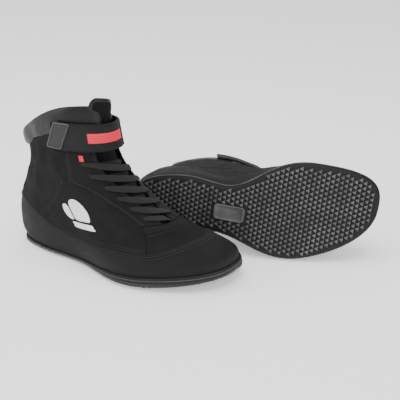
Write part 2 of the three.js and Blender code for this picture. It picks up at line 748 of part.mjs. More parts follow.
const strapLabel = () => {
  const heights = [STRAP_HEIGHT - 5.5, STRAP_HEIGHT, STRAP_HEIGHT + 5.5];
  return band(0.76, 1.07, 14, heights, onFlap, 0.8);
};
const tag = () => {
  const top = STRAP_HEIGHT - STRAP_WIDTH / 2 - 4.5;
  return band(0.67, 0.7, 1, [top - 6.5, top], () => LOOP_IN, 0.8);
};

// ---- emblem: a plain boxing glove outline ----
const GLOVE = [
  [-8, -17], [9, -17], [10, -8], [15, 0], [17, 9], [12, 16], [2, 18], [-8, 16],
  [-11, 9], [-16, 8], [-18, 1], [-15, -5], [-9, -7],
];
const EMBLEM_PLACE = [0.53, 0.405];

function emblem() {
  const [share, rise] = EMBLEM_PLACE;
  const curve = new THREE.SplineCurve(GLOVE.map(([x, y]) => new THREE.Vector2(x, y)));
  curve.points.push(curve.points[0].clone());
  const outline = curve.getPoints(26).slice(0, -1);
  const turn = Math.PI * share;
  const perTurn = lastPoint(turn + 0.02, rise).distanceTo(lastPoint(turn - 0.02, rise)) / 0.04;
  const perRise = lastPoint(turn, rise + 0.02).distanceTo(lastPoint(turn, rise - 0.02)) / 0.04;
  const place = (p, out) => onLast(turn + p.x / perTurn, rise + p.y / perRise, out);
  const low = PANEL_OUT + CLEARANCE;
  const count = outline.length;
  const points = [...outline.map((p) => place(p, low + 0.6)), ...outline.map((p) => place(p, low))];
  const triangles = [];
  for (const [a, b, c] of THREE.ShapeUtils.triangulateShape(outline, [])) {
    triangles.push(a, b, c, count + a, count + c, count + b);
  }
  for (let i = 0; i < count; i += 1) {
    const j = (i + 1) % count;
    triangles.push(i, count + i, count + j, i, count + j, j);
  }
  return geometryOf(points, triangles);
}

// ---- materials ----
const paint = (color, roughness, metalness = 0) => ({ color, roughness, metalness });
const FINISH = {
  rubber: paint(0x2e2e30, 0.7),
  board: paint(0x8a7a62, 0.9),
  foam: paint(0x1c1c1e, 0.95),
  fabric: paint(0x19191b, 0.9),
  mesh: paint(0x232326, 0.95),
  leather: paint(0x2b2a2a, 0.35),
  webbing: paint(0x2a2a2d, 0.7),
  lace: paint(0x1d1d1f, 0.9),
  grey: paint(0x5c5c5e, 0.5),
  red: paint(0xd0162e, 0.5),
  white: paint(0xf2f2f2, 0.5),
};

// ---- assembly ----
// Every piece of a boot: name, shape and finish.
const PIECES = [
  ['outsole', outsole(), 'rubber'],
  ['insole_board', insoleBoard(), 'board'],
  ['sockliner', sockliner(), 'foam'],
  ['lining', lining(), 'leather'],
  ['heel_counter', heelCounter(), 'board'],
  ['toe_puff', toePuff(), 'board'],
  ['rand', rand(), 'fabric'],
  ['vamp', vamp(), 'mesh'],
  ['lateral_quarter', quarter(-1), 'mesh'],
  ['medial_quarter', quarter(1), 'mesh'],
  ['ankle_panel', anklePanel(), 'fabric'],
  ['lateral_eyestay', eyestay(-1), 'fabric'],
  ['medial_eyestay', eyestay(1), 'fabric'],
  ['collar_pad', collarPad(), 'leather'],
  ['tongue', tongue(), 'fabric'],
  ['tongue_binding', tongueBinding(), 'leather'],
  ['lace', lace(), 'lace'],
  ['strap_anchor', strapAnchor(), 'webbing'],
  ['strap_flap', strapFlap(), 'webbing'],
  ['strap_tip', strapTip(), 'grey'],
  ['strap_label', strapLabel(), 'red'],
  ['hook_patch', hookPatch(), 'webbing'],
  ['loop_patch', loopPatch(), 'webbing'],
  ['emblem', emblem(), 'white'],
  ['size_tag', tag(), 'red'],
];

// The mirror image of a shape in the plane y = 0, with its faces still pointing out.
function mirrored(shape) {
  const copy = shape.clone();
  copy.scale(1, -1, 1);
  const index = copy.getIndex().array;
  for (let i = 0; i < index.length; i += 3) {
    [index[i + 1], index[i + 2]] = [index[i + 2], index[i + 1]];
  }
  return copy;
}

function boot(prefix, shapeOf) {
  const group = new THREE.Group();
  for (const [name, shape, finish] of PIECES) {
    const mesh = new THREE.Mesh(shapeOf(shape), new THREE.MeshStandardMaterial(FINISH[finish]));
    mesh.name = `${prefix}_${name}`;
    group.add(mesh);
  }
  return group;
}

const rightBoot = boot('right', (shape) => shape);
const leftBoot = boot('left', mirrored);
leftBoot.rotation.set(LEFT_BOOT.roll, LEFT_BOOT.pitch, LEFT_BOOT.yaw, 'ZYX');
leftBoot.position.set(LEFT_BOOT.x, LEFT_BOOT.y, 0);
leftBoot.position.z = -new THREE.Box3().setFromObject(leftBoot, true).min.z;

const boots = new THREE.Group();
boots.add(rightBoot, leftBoot);
boots.position.x = -ORIGIN_FROM_HEEL;
export default boots;
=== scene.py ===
"""A pair of black high-top boxing boots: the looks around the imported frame.

Every soft piece lies on one surface, the last. A point on it has a turn (0 at the back of the
heel, pi at the toe, lateral side first) and a rise (0 at the sole edge, 1 at the collar's top).
Shapes are worked out in millimetres in a boot's own frame, then placed for each boot.
"""

import math

import bpy
import numpy as np
from mathutils import Matrix, Vector


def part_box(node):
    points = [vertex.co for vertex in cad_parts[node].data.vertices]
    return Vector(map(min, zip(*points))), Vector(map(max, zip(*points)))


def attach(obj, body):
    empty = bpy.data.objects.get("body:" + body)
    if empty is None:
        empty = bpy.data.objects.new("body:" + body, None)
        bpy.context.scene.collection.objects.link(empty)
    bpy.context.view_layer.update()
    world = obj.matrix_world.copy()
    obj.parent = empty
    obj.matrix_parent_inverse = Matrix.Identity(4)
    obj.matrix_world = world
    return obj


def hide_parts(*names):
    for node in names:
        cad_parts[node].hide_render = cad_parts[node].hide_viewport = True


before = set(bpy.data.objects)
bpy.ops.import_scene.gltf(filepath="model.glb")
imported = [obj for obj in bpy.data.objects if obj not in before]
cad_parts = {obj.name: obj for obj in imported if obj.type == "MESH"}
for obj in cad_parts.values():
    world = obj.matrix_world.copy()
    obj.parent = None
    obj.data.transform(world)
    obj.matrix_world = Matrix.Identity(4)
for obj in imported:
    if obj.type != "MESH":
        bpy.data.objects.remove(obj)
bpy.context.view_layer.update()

# ---- sizes, mm ----
ORIGIN_FROM_HEEL = 60
BOOT_LENGTH = 274
SOLE_THICKNESS = 6
TOE_SPRING = 11
HEEL_HALF_WIDTH = 34
BALL_HALF_WIDTH = 57
TOE_SHIFT = 29
ARCH_DEPTH = 16
LEAN = 0.3
PANEL = 1.4
COLLAR_THICKNESS = 9
STRAP_WIDTH = 30
STRAP_HEIGHT = 150
STRAP_THICKNESS = 2
STRAP_STANDOFF = 6
LACE_WIDTH = 7.2
LACE_THICKNESS = 1.4
EYELET_ROWS = 6
EYELET_RADIUS = 2.8
THROAT_Y = -2
THROAT_BOTTOM = 0.383
COLLAR_LINE = 0.85
EYELET_LOW, EYELET_HIGH = 0.425, 0.725

FRONT_X = [274, 274, 256, 232, 208, 184, 163, 147, 138, 134, 131, 128, 126]
FRONT_Z = [12, 30, 41, 50, 61, 75, 92, 110, 130, 152, 175, 192, 209]
BACK_X = [6, 1, -1, 0, 2, 6, 13, 19, 21, 18, 14, 10, 6]
BACK_Z = [0, 10, 24, 38, 52, 66, 81, 95, 108, 120, 131, 144, 157]
HEEL_LOBE = [0.91, 1, 1.03, 1.03, 0.97, 0.94, 0.91, 0.85, 0.8, 0.765, 0.735, 0.735, 0.735]
BALL_LOBE = [1, 0.98, 0.88, 0.755, 0.685, 0.63, 0.595, 0.545, 0.51, 0.475, 0.455, 0.455, 0.455]
CROWN = [0, 0, 0, 0, 0, 0, 1, 3, 5, 7, 8, 8, 8]
THROAT_HALF_WIDTH = [6, 7, 9, 12, 15, 16, 16, 16]
EYELET_HALF_WIDTH = [13.5, 15.5, 17.5, 20, 23, 23.5]
RAND_TOP = [0.44, 0.435, 0.415, 0.35, 0.255, 0.222, 0.215, 0.19, 0.222, 0.245, 0.248]
QUARTER_TOP = [
    [0.522, 0.64], [0.567, 0.63], [0.647, 0.607], [0.703, 0.563],
    [0.742, 0.513], [0.772, 0.457], [0.783, 0.383],
]
QUARTER_REAR, QUARTER_FRONT = 0.31, 0.7
FACING_BEND = 1 / 6
FACING_TOP = (0.585, COLLAR_LINE)

# ---- the surface ----


def smooth(low, high, x):
    """Smooth step: 0 below low, 1 above high, 3t^2 - 2t^3 between."""
    t = np.clip((x - low) / (high - low), 0, 1)
    return t * t * (3 - 2 * t)


def through(keys, s):
    """Uniform Catmull-Rom through key values or rows, s counts keys."""
    k = np.asarray(keys, float)
    s = np.clip(np.asarray(s, float), 0, len(k) - 1 - 1e-9)
    i = np.floor(s).astype(int)
    t = s - i
    a, b = k[np.maximum(i - 1, 0)], k[i]
    c, d = k[i + 1], k[np.minimum(i + 2, len(k) - 1)]
    if k.ndim > 1:
        t = t[..., None]
    cubic = (3 * b - a - 3 * c + d) * t**3
    return 0.5 * (2 * b + (c - a) * t + (2 * a - 5 * b + 4 * c - d) * t**2 + cubic)


def along(keys, t):
    """Catmull-Rom through keys spread evenly over t from 0 to 1."""
    return through(keys, np.asarray(t, float) * (len(keys) - 1))


def last(turn, rise):
    """Point of the last: closed loops, stacked by rise, each a lobed oval from back to front."""
    turn, rise = np.broadcast_arrays(np.asarray(turn, float), np.asarray(rise, float))
    p = (1 - np.cos(turn)) / 2
    side = np.where(np.sin(turn) >= 0, -1.0, 1.0)
    low = np.clip(1 - rise, 0, 1)
    k = rise * 10
    ball = smooth(0.25, 0.73, p)
    half = HEEL_HALF_WIDTH * through(HEEL_LOBE, k) * (1 - ball) + BALL_HALF_WIDTH * through(BALL_LOBE, k) * ball
    waist = ARCH_DEPTH * np.exp(-(((p - 0.42) / 0.14) ** 2)) * low**2
    half = half - waist * np.where(side < 0, 0.35, 1.0)
    round_ends = np.abs(np.sin(turn)) ** (0.75 + 0.25 * np.clip(rise, 0, 1))
    y = TOE_SHIFT * (p * low) ** 3 + side * half * round_ends
    back, front = through(BACK_X, k), through(FRONT_X, k)
    back_z, front_z = SOLE_THICKNESS + through(BACK_Z, k), SOLE_THICKNESS + through(FRONT_Z, k)
    z = back_z + (front_z - back_z) * p ** (1 + 2 * low * low)
    z = z + through(CROWN, k) * np.sin(np.pi * p) - LEAN * y * smooth(0.55, 1, rise)
    return np.stack([back + (front - back) * p, y, z], -1)


def unit(v):
    """Vectors scaled to a length of 1."""
    return v / np.maximum(np.linalg.norm(v, axis=-1, keepdims=True), 1e-12)


def normal(turn, rise):
    """Outward normal of the last: around crossed with up."""
    turn, rise = np.broadcast_arrays(np.asarray(turn, float), np.asarray(rise, float))
    step = 0.006
    around = last(turn + step, rise) - last(turn - step, rise)
    up = last(turn, rise + step) - last(turn, np.maximum(rise - step, 0))
    return unit(np.cross(around, up))


def over(turn, rise, out):
    """Point at a distance off the last along its normal."""
    turn, rise, out = np.broadcast_arrays(*(np.asarray(a, float) for a in (turn, rise, out)))
    return last(turn, rise) + normal(turn, rise) * out[..., None]


def turn_at_y(y, rise):
    """Turn on the front half at which the last has this y, by bisection."""
    y, rise = np.broadcast_arrays(np.asarray(y, float), np.asarray(rise, float))
    low, high = np.full(y.shape, np.pi / 2), np.full(y.shape, 1.5 * np.pi)
    for _ in range(30):
        middle = (low + high) / 2
        less = last(middle, rise)[..., 1] < y
        low, high = np.where(less, middle, low), np.where(less, high, middle)
    return (low + high) / 2


def beside_throat(u, rise):
    """Turn of a point u mm from the throat's middle line, towards the medial side, at a rise."""
    return turn_at_y(THROAT_Y + np.asarray(u, float), rise)


def rise_at_height(turn, z, lowest=0.4):
    """Rise at which the last has this height, by bisection."""
    turn, z = np.broadcast_arrays(np.asarray(turn, float), np.asarray(z, float))
    low, high = np.full(z.shape, lowest), np.full(z.shape, 1.15)
    for _ in range(26):
        middle = (low + high) / 2
        less = last(turn, middle)[..., 2] < z
        low, high = np.where(less, middle, low), np.where(less, high, middle)
    return (low + high) / 2


# ---- mesh building ----


def quads(rows, columns, wrap=False, base=0):
    """Quads of a grid of rows by columns of vertices; wrap joins the last column to the first."""
    index = base + np.arange(rows * columns).reshape(rows, columns)
    if wrap:
        index = np.concatenate([index, index[:, :1]], 1)
    return np.stack([index[:-1, :-1], index[:-1, 1:], index[1:, 1:], index[1:, :-1]], -1).reshape(-1, 4)


def lengths(grid):
    """UV of a grid in mm: distance along its columns and along its rows, each from the middle line."""
    r, c = grid.shape[:2]
    u = np.concatenate([np.zeros((r, 1)), np.cumsum(np.linalg.norm(np.diff(grid, axis=1), axis=-1), 1)], 1)
    v = np.concatenate([np.zeros((1, c)), np.cumsum(np.linalg.norm(np.diff(grid, axis=0), axis=-1), 0)], 0)
    u = np.broadcast_to(u[r // 2 : r // 2 + 1], (r, c))
    return np.stack([u, v], -1)


def slab(outer, inner):
    """Closed sheet: an outer grid, an inner grid and the rim between them."""
    r, c = outer.shape[:2]
    n = r * c
    index = np.arange(n).reshape(r, c)
    rim = np.concatenate([index[0, :-1], index[:-1, -1], index[-1, :0:-1], index[:0:-1, 0]])
    after = np.roll(rim, -1)
    faces = np.concatenate([
        quads(r, c), quads(r, c, base=n)[:, ::-1], np.stack([after, rim, rim + n, after + n], -1),
    ])
    uv = lengths(outer).reshape(-1, 2)
    return np.concatenate([outer.reshape(-1, 3), inner.reshape(-1, 3)]), [faces], np.concatenate([uv, uv])


def tube(rings, closed=False):
    """Skin through rings of equal length, with end caps unless it closes on itself."""
    n, k = rings.shape[:2]
    grid = np.concatenate([rings, rings[:, :1]], 1)
    uv = lengths(np.concatenate([grid, grid[:1]], 0) if closed else grid)[:n, :k].reshape(-1, 2)
    faces = quads(n + 1 if closed else n, k, wrap=True)
    verts = rings.reshape(-1, 3)
    if closed:
        return verts, [faces % (n * k)], uv
    ends = [rings[0].mean(0), rings[-1].mean(0)]
    verts = np.concatenate([verts, ends])
    uv = np.concatenate([uv, uv[:1], uv[-1:]])
    i = np.arange(k)
    j = (i + 1) % k
    start = np.stack([np.full(k, n * k), j, i], -1)
    stop = np.stack([np.full(k, n * k + 1), (n - 1) * k + i, (n - 1) * k + j], -1)
    return verts, [faces, np.concatenate([start, stop])], uv


def joined(parts):
    """Several meshes as one."""
    verts, groups, uvs, base = [], [], [], 0
    for v, face_groups, uv in parts:
        verts.append(v)
        uvs.append(uv)
        groups += [f + base for f in face_groups]
        base += len(v)
    return np.concatenate(verts), groups, np.concatenate(uvs)


def solid_volume(verts, groups):
    """Six times the enclosed volume: a dot (b cross c), summed over triangles fanned from each face.

    It is positive when the faces point outwards.
    """
    total = 0.0
    for f in groups:
        a = verts[f[:, 0]]
        for m in range(1, f.shape[1] - 1):
            total += float(np.sum(a * np.cross(verts[f[:, m]], verts[f[:, m + 1]])))
    return total


# The left boot lies on its side: rolled about X, rocked about Y, then swung about Z, in radians.
LEFT_ROLL, LEFT_ROCK, LEFT_SWING = -1.739, 0.103, 0.363
LEFT_SWUNG = Matrix.Rotation(LEFT_SWING, 4, "Z") @ Matrix.Rotation(LEFT_ROCK, 4, "Y")
LEFT_PLACE = LEFT_SWUNG @ Matrix.Rotation(LEFT_ROLL, 4, "X")
LEFT_TURN = np.array(LEFT_PLACE.to_3x3())
LEFT_SHIFT = np.array([131, 43, 0.0])
SIDES = ("right", "left")


def placed(side, points):
    """A boot's own mm to the frame's metres."""
    if side == "left":
        points = (points * [1, -1, 1]) @ LEFT_TURN.T + LEFT_SHIFT
    return (points - [ORIGIN_FROM_HEEL, 0, 0]) / 1000


def make(name, mesh, finish, on="boot", replaces=(), smooth_shade=True):
    """Both boots' copies of a piece: mesh, finish, body and the frame nodes that it stands for."""
    verts, groups, uv = mesh
    pieces = []
    for side in SIDES:
        points = placed(side, verts)
        flip = solid_volume(points, groups) < 0
        faces = [g[:, ::-1] if flip else g for g in groups]
        data = bpy.data.meshes.new(f"{side}_{name}")
        data.from_pydata(points.tolist(), [], [row for g in faces for row in g.tolist()])
        layer = data.uv_layers.new(name="cloth")
        loops = np.empty(len(data.loops), np.int32)
        data.loops.foreach_get("vertex_index", loops)
        layer.data.foreach_set("uv", uv[loops].astype(np.float32).ravel())
        data.polygons.foreach_set("use_smooth", np.full(len(data.polygons), smooth_shade))
        data.materials.append(finish)
        piece = bpy.data.objects.new(f"{side}_{name}", data)
        bpy.context.scene.collection.objects.link(piece)
        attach(piece, f"{side}_{on}")
        for node in replaces:
            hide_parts(f"{side}_{node}")
        pieces.append(piece)
    return pieces


# ---- finishes ----


class Field:
    """A shader value that adds, multiplies and so on through Math nodes."""

    def __init__(self, tree, socket):
        self.tree, self.socket = tree, socket

    def fn(self, operation, *others):
        node = self.tree.nodes.new("ShaderNodeMath")
        node.operation = operation
        for slot, value in enumerate((self, *others)):
            if isinstance(value, Field):
                self.tree.links.new(value.socket, node.inputs[slot])
            else:
                node.inputs[slot].default_value = value
        return Field(self.tree, node.outputs[0])

    def from_number(self, operation, number):
        node = self.tree.nodes.new("ShaderNodeMath")
        node.operation = operation
        node.inputs[0].default_value = number
        self.tree.links.new(self.socket, node.inputs[1])
        return Field(self.tree, node.outputs[0])

    def __add__(self, other):
        return self.fn("ADD", other)

    def __sub__(self, other):
        return self.fn("SUBTRACT", other)

    def __mul__(self, other):
        return self.fn("MULTIPLY", other)

    def __rsub__(self, number):
        return self.from_number("SUBTRACT", number)

    __radd__ = __add__
    __rmul__ = __mul__

    def sine(self):
        return self.fn("SINE")

    def between(self, low, high):
        """0 below low, 1 above high, straight between."""
        node = self.tree.nodes.new("ShaderNodeMapRange")
        self.tree.links.new(self.socket, node.inputs[0])
        node.inputs[1].default_value, node.inputs[2].default_value = low, high
        return Field(self.tree, node.outputs[0])


class Finish:
    """A Principled material; constants go straight on the shader, patterns come in through fields."""

    def __init__(self, name, colour, roughness, **constants):
        self.material = bpy.data.materials.new(name)
        self.material.use_nodes = True
        self.tree = self.material.node_tree
        self.shader = next(n for n in self.tree.nodes if n.type == "BSDF_PRINCIPLED")
        self.shader.inputs["Base Color"].default_value = (*colour, 1)
        self.shader.inputs["Roughness"].default_value = roughness
        for key, value in constants.items():
            self.shader.inputs[key.replace("_", " ")].default_value = value

    def node(self, kind, inputs=(), **settings):
        """Any other node: its inputs by name or place, its settings by keyword."""
        made = self.tree.nodes.new(kind)
        for key, value in settings.items():
            setattr(made, key, value)
        for key, value in dict(inputs).items():
            if isinstance(value, Field):
                self.tree.links.new(value.socket, made.inputs[key])
            else:
                made.inputs[key].default_value = value
        return made

    def cloth(self):
        """The piece's own lengths in mm, along and across."""
        uv = Field(self.tree, self.node("ShaderNodeUVMap", uv_map="cloth").outputs[0])
        split = self.node("ShaderNodeSeparateXYZ", {0: uv})
        return Field(self.tree, split.outputs[0]), Field(self.tree, split.outputs[1])

    def noise(self, scale, detail=3.0):
        place = Field(self.tree, self.node("ShaderNodeTexCoord").outputs["Object"])
        made = self.node("ShaderNodeTexNoise", {"Vector": place, "Scale": scale, "Detail": detail})
        return Field(self.tree, made.outputs[0])

    def colours(self, first, second, field):
        made = self.node("ShaderNodeMix", data_type="RGBA")
        self.tree.links.new(field.socket, made.inputs["Factor"])
        made.inputs["A"].default_value, made.inputs["B"].default_value = (*first, 1), (*second, 1)
        colour = next(s for s in made.outputs if s.type == "RGBA")
        self.tree.links.new(colour, self.shader.inputs["Base Color"])
        return self

    def rough(self, field):
        self.tree.links.new(field.socket, self.shader.inputs["Roughness"])
        return self

    def bump(self, field, depth_mm, strength=1.0):
        made = self.node("ShaderNodeBump", {"Height": field, "Distance": depth_mm / 1000, "Strength": strength})
        self.tree.links.new(made.outputs[0], self.shader.inputs["Normal"])
        return self.material


def mesh_fabric(name, dark, light, pitch=1.5, rough=0.78):
    """Knitted mesh: staggered round holes between threads, and slow variation of colour."""
    f = Finish(name, dark, rough, Specular_IOR_Level=0.12, Sheen_Weight=0.02)
    u, v = f.cloth()
    k = 2 * math.pi / pitch
    holes = (u * k).sine() * (v * k).sine()
    threads = (u * (3.1 * k) + v * (3.1 * k)).sine() * 0.25
    grain = f.noise(60.0, 4.0)
    f.colours(dark, light, (holes * 0.5 + grain).between(0.2, 1.0))
    f.rough(grain * 0.3 + (rough - 0.15))
    return f.bump(holes + threads + grain * 0.5, 0.35)


def smooth_fabric(name, dark, light, rough=0.62):
    """Brushed synthetic: fine twill lines, pores and soft blotches."""
    f = Finish(name, dark, rough, Specular_IOR_Level=0.14, Sheen_Weight=0.02)
    u, v = f.cloth()
    twill = (u * 7.0 + v * 7.0).sine() * 0.3
    fine, slow = f.noise(900.0, 4.0), f.noise(28.0, 3.0)
    f.colours(dark, light, (slow * 1.4 + fine * 0.3).between(0.5, 1.3))
    f.rough(slow * 0.25 + fine * 0.2 + (rough - 0.2))
    return f.bump(twill + fine * 1.2 + slow * 1.5, 0.16)


def glossy_leather(name, dark, light):
    """Coated leather: cell-like grain, wider creases, and a satin coat."""
    f = Finish(name, dark, 0.3, Specular_IOR_Level=0.3)
    place = Field(f.tree, f.node("ShaderNodeTexCoord").outputs["Object"])
    cells = f.node("ShaderNodeTexVoronoi", {"Vector": place, "Scale": 620.0})
    grain = Field(f.tree, cells.outputs["Distance"])
    slow = f.noise(45.0, 4.0)
    f.colours(dark, light, slow.between(0.35, 0.75))
    f.rough(slow * 0.2 + grain * 0.12 + 0.2)
    return f.bump(grain + slow * 2.2, 0.22)


def ribbed(name, dark, light, pitch, rough, across=True, depth=0.3):
    """Woven ribs along one direction, with single threads across them."""
    f = Finish(name, dark, rough, Specular_IOR_Level=0.22, Sheen_Weight=0.02)
    u, v = f.cloth()
    main, cross = (v, u) if across else (u, v)
    ribs = (main * (2 * math.pi / pitch)).sine()
    threads = (cross * (2 * math.pi / (pitch * 0.8)) + ribs * 1.2).sine() * 0.35
    grain = f.noise(300.0, 3.0)
    f.colours(dark, light, (ribs * 0.35 + threads * 0.4 + grain * 0.8).between(0.0, 1.0))
    f.rough(grain * 0.3 + (rough - 0.12))
    return f.bump(ribs + threads + grain * 0.4, depth)


def braid(name, dark, light):
    """Flat braided lace: two crossing sets of slanted yarns."""
    f = Finish(name, dark, 0.8, Specular_IOR_Level=0.3, Sheen_Weight=0.05)
    u, v = f.cloth()
    one, two = (u * 3.6 + v * 3.6).sine(), (u * 3.6 - v * 3.6).sine()
    weave = one.fn("MAXIMUM", two)
    grain = f.noise(500.0, 3.0)
    f.colours(dark, light, (weave * 0.4 + grain * 0.7).between(0.1, 1.0))
    f.rough(grain * 0.25 + 0.66)
    return f.bump(weave + grain * 0.3, 0.3)


def rubber(name, dark, light, rough, scuff=0.0):
    """Moulded rubber: fine mould grain and scuffed, dusty patches."""
    f = Finish(name, dark, rough, Specular_IOR_Level=0.35)
    fine, slow = f.noise(1500.0, 3.0), f.noise(55.0, 5.0)
    f.colours(dark, light, (slow * (1.0 + scuff) + fine * 0.25).between(0.55, 1.1))
    f.rough(fine * 0.15 + slow * 0.25 + (rough - 0.18))
    return f.bump(fine + slow * 1.5, 0.1)


MESH = mesh_fabric("black_mesh", (0.006, 0.006, 0.0064), (0.021, 0.020, 0.021))
TONGUE_MESH = mesh_fabric("tongue_mesh", (0.004, 0.004, 0.0045), (0.011, 0.011, 0.012), pitch=1.9)
SMOOTH = smooth_fabric("black_synthetic", (0.0075, 0.0070, 0.0074), (0.0135, 0.0128, 0.0132))
FACING = smooth_fabric("facing_synthetic", (0.0055, 0.0052, 0.0055), (0.010, 0.0095, 0.0098))
LEATHER = glossy_leather("collar_leather", (0.0035, 0.0033, 0.0033), (0.0075, 0.007, 0.007))
PIPING = glossy_leather("piping_leather", (0.003, 0.003, 0.0032), (0.006, 0.006, 0.0064))
WEBBING = ribbed("strap_webbing", (0.009, 0.009, 0.0098), (0.018, 0.018, 0.0195), 1.3, 0.62)
EDGE_WEBBING = ribbed("strap_edge", (0.006, 0.006, 0.0066), (0.014, 0.014, 0.015), 1.0, 0.6, across=False)
GREY_TAB = ribbed("grey_tab", (0.030, 0.030, 0.032), (0.080, 0.080, 0.083), 2.1, 0.5, across=False, depth=0.6)
GREY_PIPING = ribbed("grey_piping", (0.12, 0.12, 0.124), (0.19, 0.19, 0.195), 0.8, 0.5)
HOOKS = ribbed("hook_and_loop_tape", (0.005, 0.005, 0.0055), (0.011, 0.011, 0.012), 0.9, 0.9, depth=0.5)
LACE = braid("lace_braid", (0.007, 0.007, 0.0075), (0.018, 0.0175, 0.018))
THREAD = ribbed("thread", (0.030, 0.029, 0.030), (0.055, 0.053, 0.055), 0.5, 0.6, depth=0.1)
SOLE = rubber("sole_rubber", (0.005, 0.005, 0.0053), (0.010, 0.010, 0.0105), 0.7)
LUG = rubber("lug_rubber", (0.058, 0.058, 0.059), (0.125, 0.125, 0.126), 0.5, 0.3)
RIM = rubber("rim_rubber", (0.050, 0.050, 0.051), (0.095, 0.095, 0.096), 0.6, 0.2)
RED = rubber("raised_red", (0.68, 0.014, 0.045), (0.80, 0.034, 0.080), 0.45)
WHITE = rubber("white_print", (0.80, 0.80, 0.81), (0.90, 0.90, 0.90), 0.5)
LINING = smooth_fabric("lining_textile", (0.006, 0.006, 0.0065), (0.012, 0.012, 0.013), 0.8)
INSOLE = mesh_fabric("footbed_textile", (0.007, 0.007, 0.008), (0.016, 0.016, 0.018), pitch=1.2)
BOARD = smooth_fabric("fibre_board", (0.20, 0.16, 0.10), (0.26, 0.21, 0.14), 0.9)

# ---- panels ----


def share_of(turn):
    """Share of the way from heel to toe on either side: 0 at the heel, 1 at the toe."""
    return 1 - np.abs(turn - np.pi) / np.pi


def rand_top(share):
    """Rise of the rand's upper seam: Catmull-Rom through its keys, even from heel to toe."""
    return along(RAND_TOP, share)


def seam_turn(side, share, rise):
    """Turn of a seam point: on the medial side it mirrors the lateral y near the throat."""
    turn = np.pi * np.asarray(share, float)
    if side < 0:
        return turn
    mirrored = turn_at_y(2 * THROAT_Y - last(turn, rise)[..., 1], rise)
    near = smooth(0.62, 0.78, np.asarray(share, float))
    return (2 * np.pi - turn) * (1 - near) + mirrored * near


def facing_rear(t):
    """Rear edge of an eyestay: up the quarter's top seam, then straight to the collar."""
    bend = 0.55
    first = along(QUARTER_TOP, 1 - (1 - FACING_BEND) * np.clip(t / bend, 0, 1))
    start = along(QUARTER_TOP, FACING_BEND)
    w = ((t - bend) / (1 - bend))[..., None]
    second = start + (np.array(FACING_TOP) - start) * w
    return np.where((t < bend)[..., None], first, second)


def quarter_edges(side):
    """Edges of a quarter: the rand's seam between two shares, and the quarter's own top seam."""
    def low(t):
        share = QUARTER_REAR + (QUARTER_FRONT - QUARTER_REAR) * t
        turn = np.pi * share if side < 0 else np.pi * (2 - share)
        return np.stack([turn, rand_top(share)], -1)

    def high(t):
        p = along(QUARTER_TOP, t)
        return np.stack([seam_turn(side, p[..., 0], p[..., 1]), p[..., 1]], -1)

    return low, high


def vamp_edges():
    """Edges of the vamp: the rand's seam round the toe, and a line across the throat's foot."""
    def low(t):
        share = 1 - (1 - QUARTER_FRONT) * np.abs(2 * t - 1)
        return np.stack([np.pi * np.where(t < 0.5, share, 2 - share), rand_top(share)], -1)

    end = QUARTER_TOP[-1]
    start_turn, end_turn = (float(seam_turn(s, end[0], end[1])) for s in (-1, 1))

    def high(t):
        return np.stack([start_turn + (end_turn - start_turn) * t, np.full(t.shape, THROAT_BOTTOM)], -1)

    return low, high


def ankle_edges():
    """Edges of the ankle panel, from one facing round the heel to the other.

    From the heel, the low one runs along the rand, straight up the quarter's rear and along its
    top seam. The high one stays just above the collar line.
    """
    along_rand, up_rear = 0.4, 0.3

    def both(point):
        def edge(t):
            p = point(np.abs(1 - 2 * t))
            lateral, medial = (seam_turn(s, p[..., 0], p[..., 1]) for s in (-1, 1))
            return np.stack([np.where(t < 0.5, lateral, medial - 2 * np.pi), p[..., 1]], -1)

        return edge

    def low_side(t):
        share = QUARTER_REAR * np.clip(t / along_rand, 0, 1)
        first = np.stack([share, rand_top(share)], -1)
        w = np.clip((t - along_rand) / up_rear, 0, 1)[..., None]
        corner = np.array([QUARTER_REAR, float(rand_top(QUARTER_REAR))])
        second = corner + (np.array(QUARTER_TOP[0]) - corner) * w
        after = np.clip((t - along_rand - up_rear) / (1 - along_rand - up_rear), 0, 1)
        third = along(QUARTER_TOP, FACING_BEND * after)
        pick = np.where((t < along_rand)[..., None], first, second)
        return np.where((t > along_rand + up_rear)[..., None], third, pick)

    def high_side(t):
        return np.stack([FACING_TOP[0] * t, np.full(t.shape, COLLAR_LINE + 0.02)], -1)

    return both(low_side), both(high_side)


def eyestay_edges(side):
    """Edges of an eyestay: the facing's rear seam, and the throat's side by its half width."""
    def low(t):
        p = facing_rear(0.004 + 0.992 * t)
        return np.stack([seam_turn(side, p[..., 0], p[..., 1]), p[..., 1]], -1)

    def high(t):
        rise = THROAT_BOTTOM + (COLLAR_LINE + 0.02 - THROAT_BOTTOM) * (0.004 + 0.992 * t)
        reach = along(THROAT_HALF_WIDTH, t)
        return np.stack([beside_throat(side * reach, rise), rise], -1)

    return low, high


def eased(count, near=0.012):
    """Parameters from 0 to 1 with extra ones close to both ends, for a rolled edge."""
    inside = np.linspace(near * 2.4, 1 - near * 2.4, count)
    return np.concatenate([[0, near * 0.4, near], inside, [1 - near, 1 - near * 0.4, 1]])


def creases(turn, rise, amount):
    """Soft folds of worn cloth: a few slanted sine waves multiplied by one another, in mm."""
    one = np.sin(9.0 * turn + 14.0 * rise + 0.6) * np.sin(5.0 * turn - 22.0 * rise)
    two = np.sin(17.0 * turn - 9.0 * rise + 1.9) * np.sin(31.0 * rise + 3.0 * turn)
    return amount * (one + 0.5 * two)


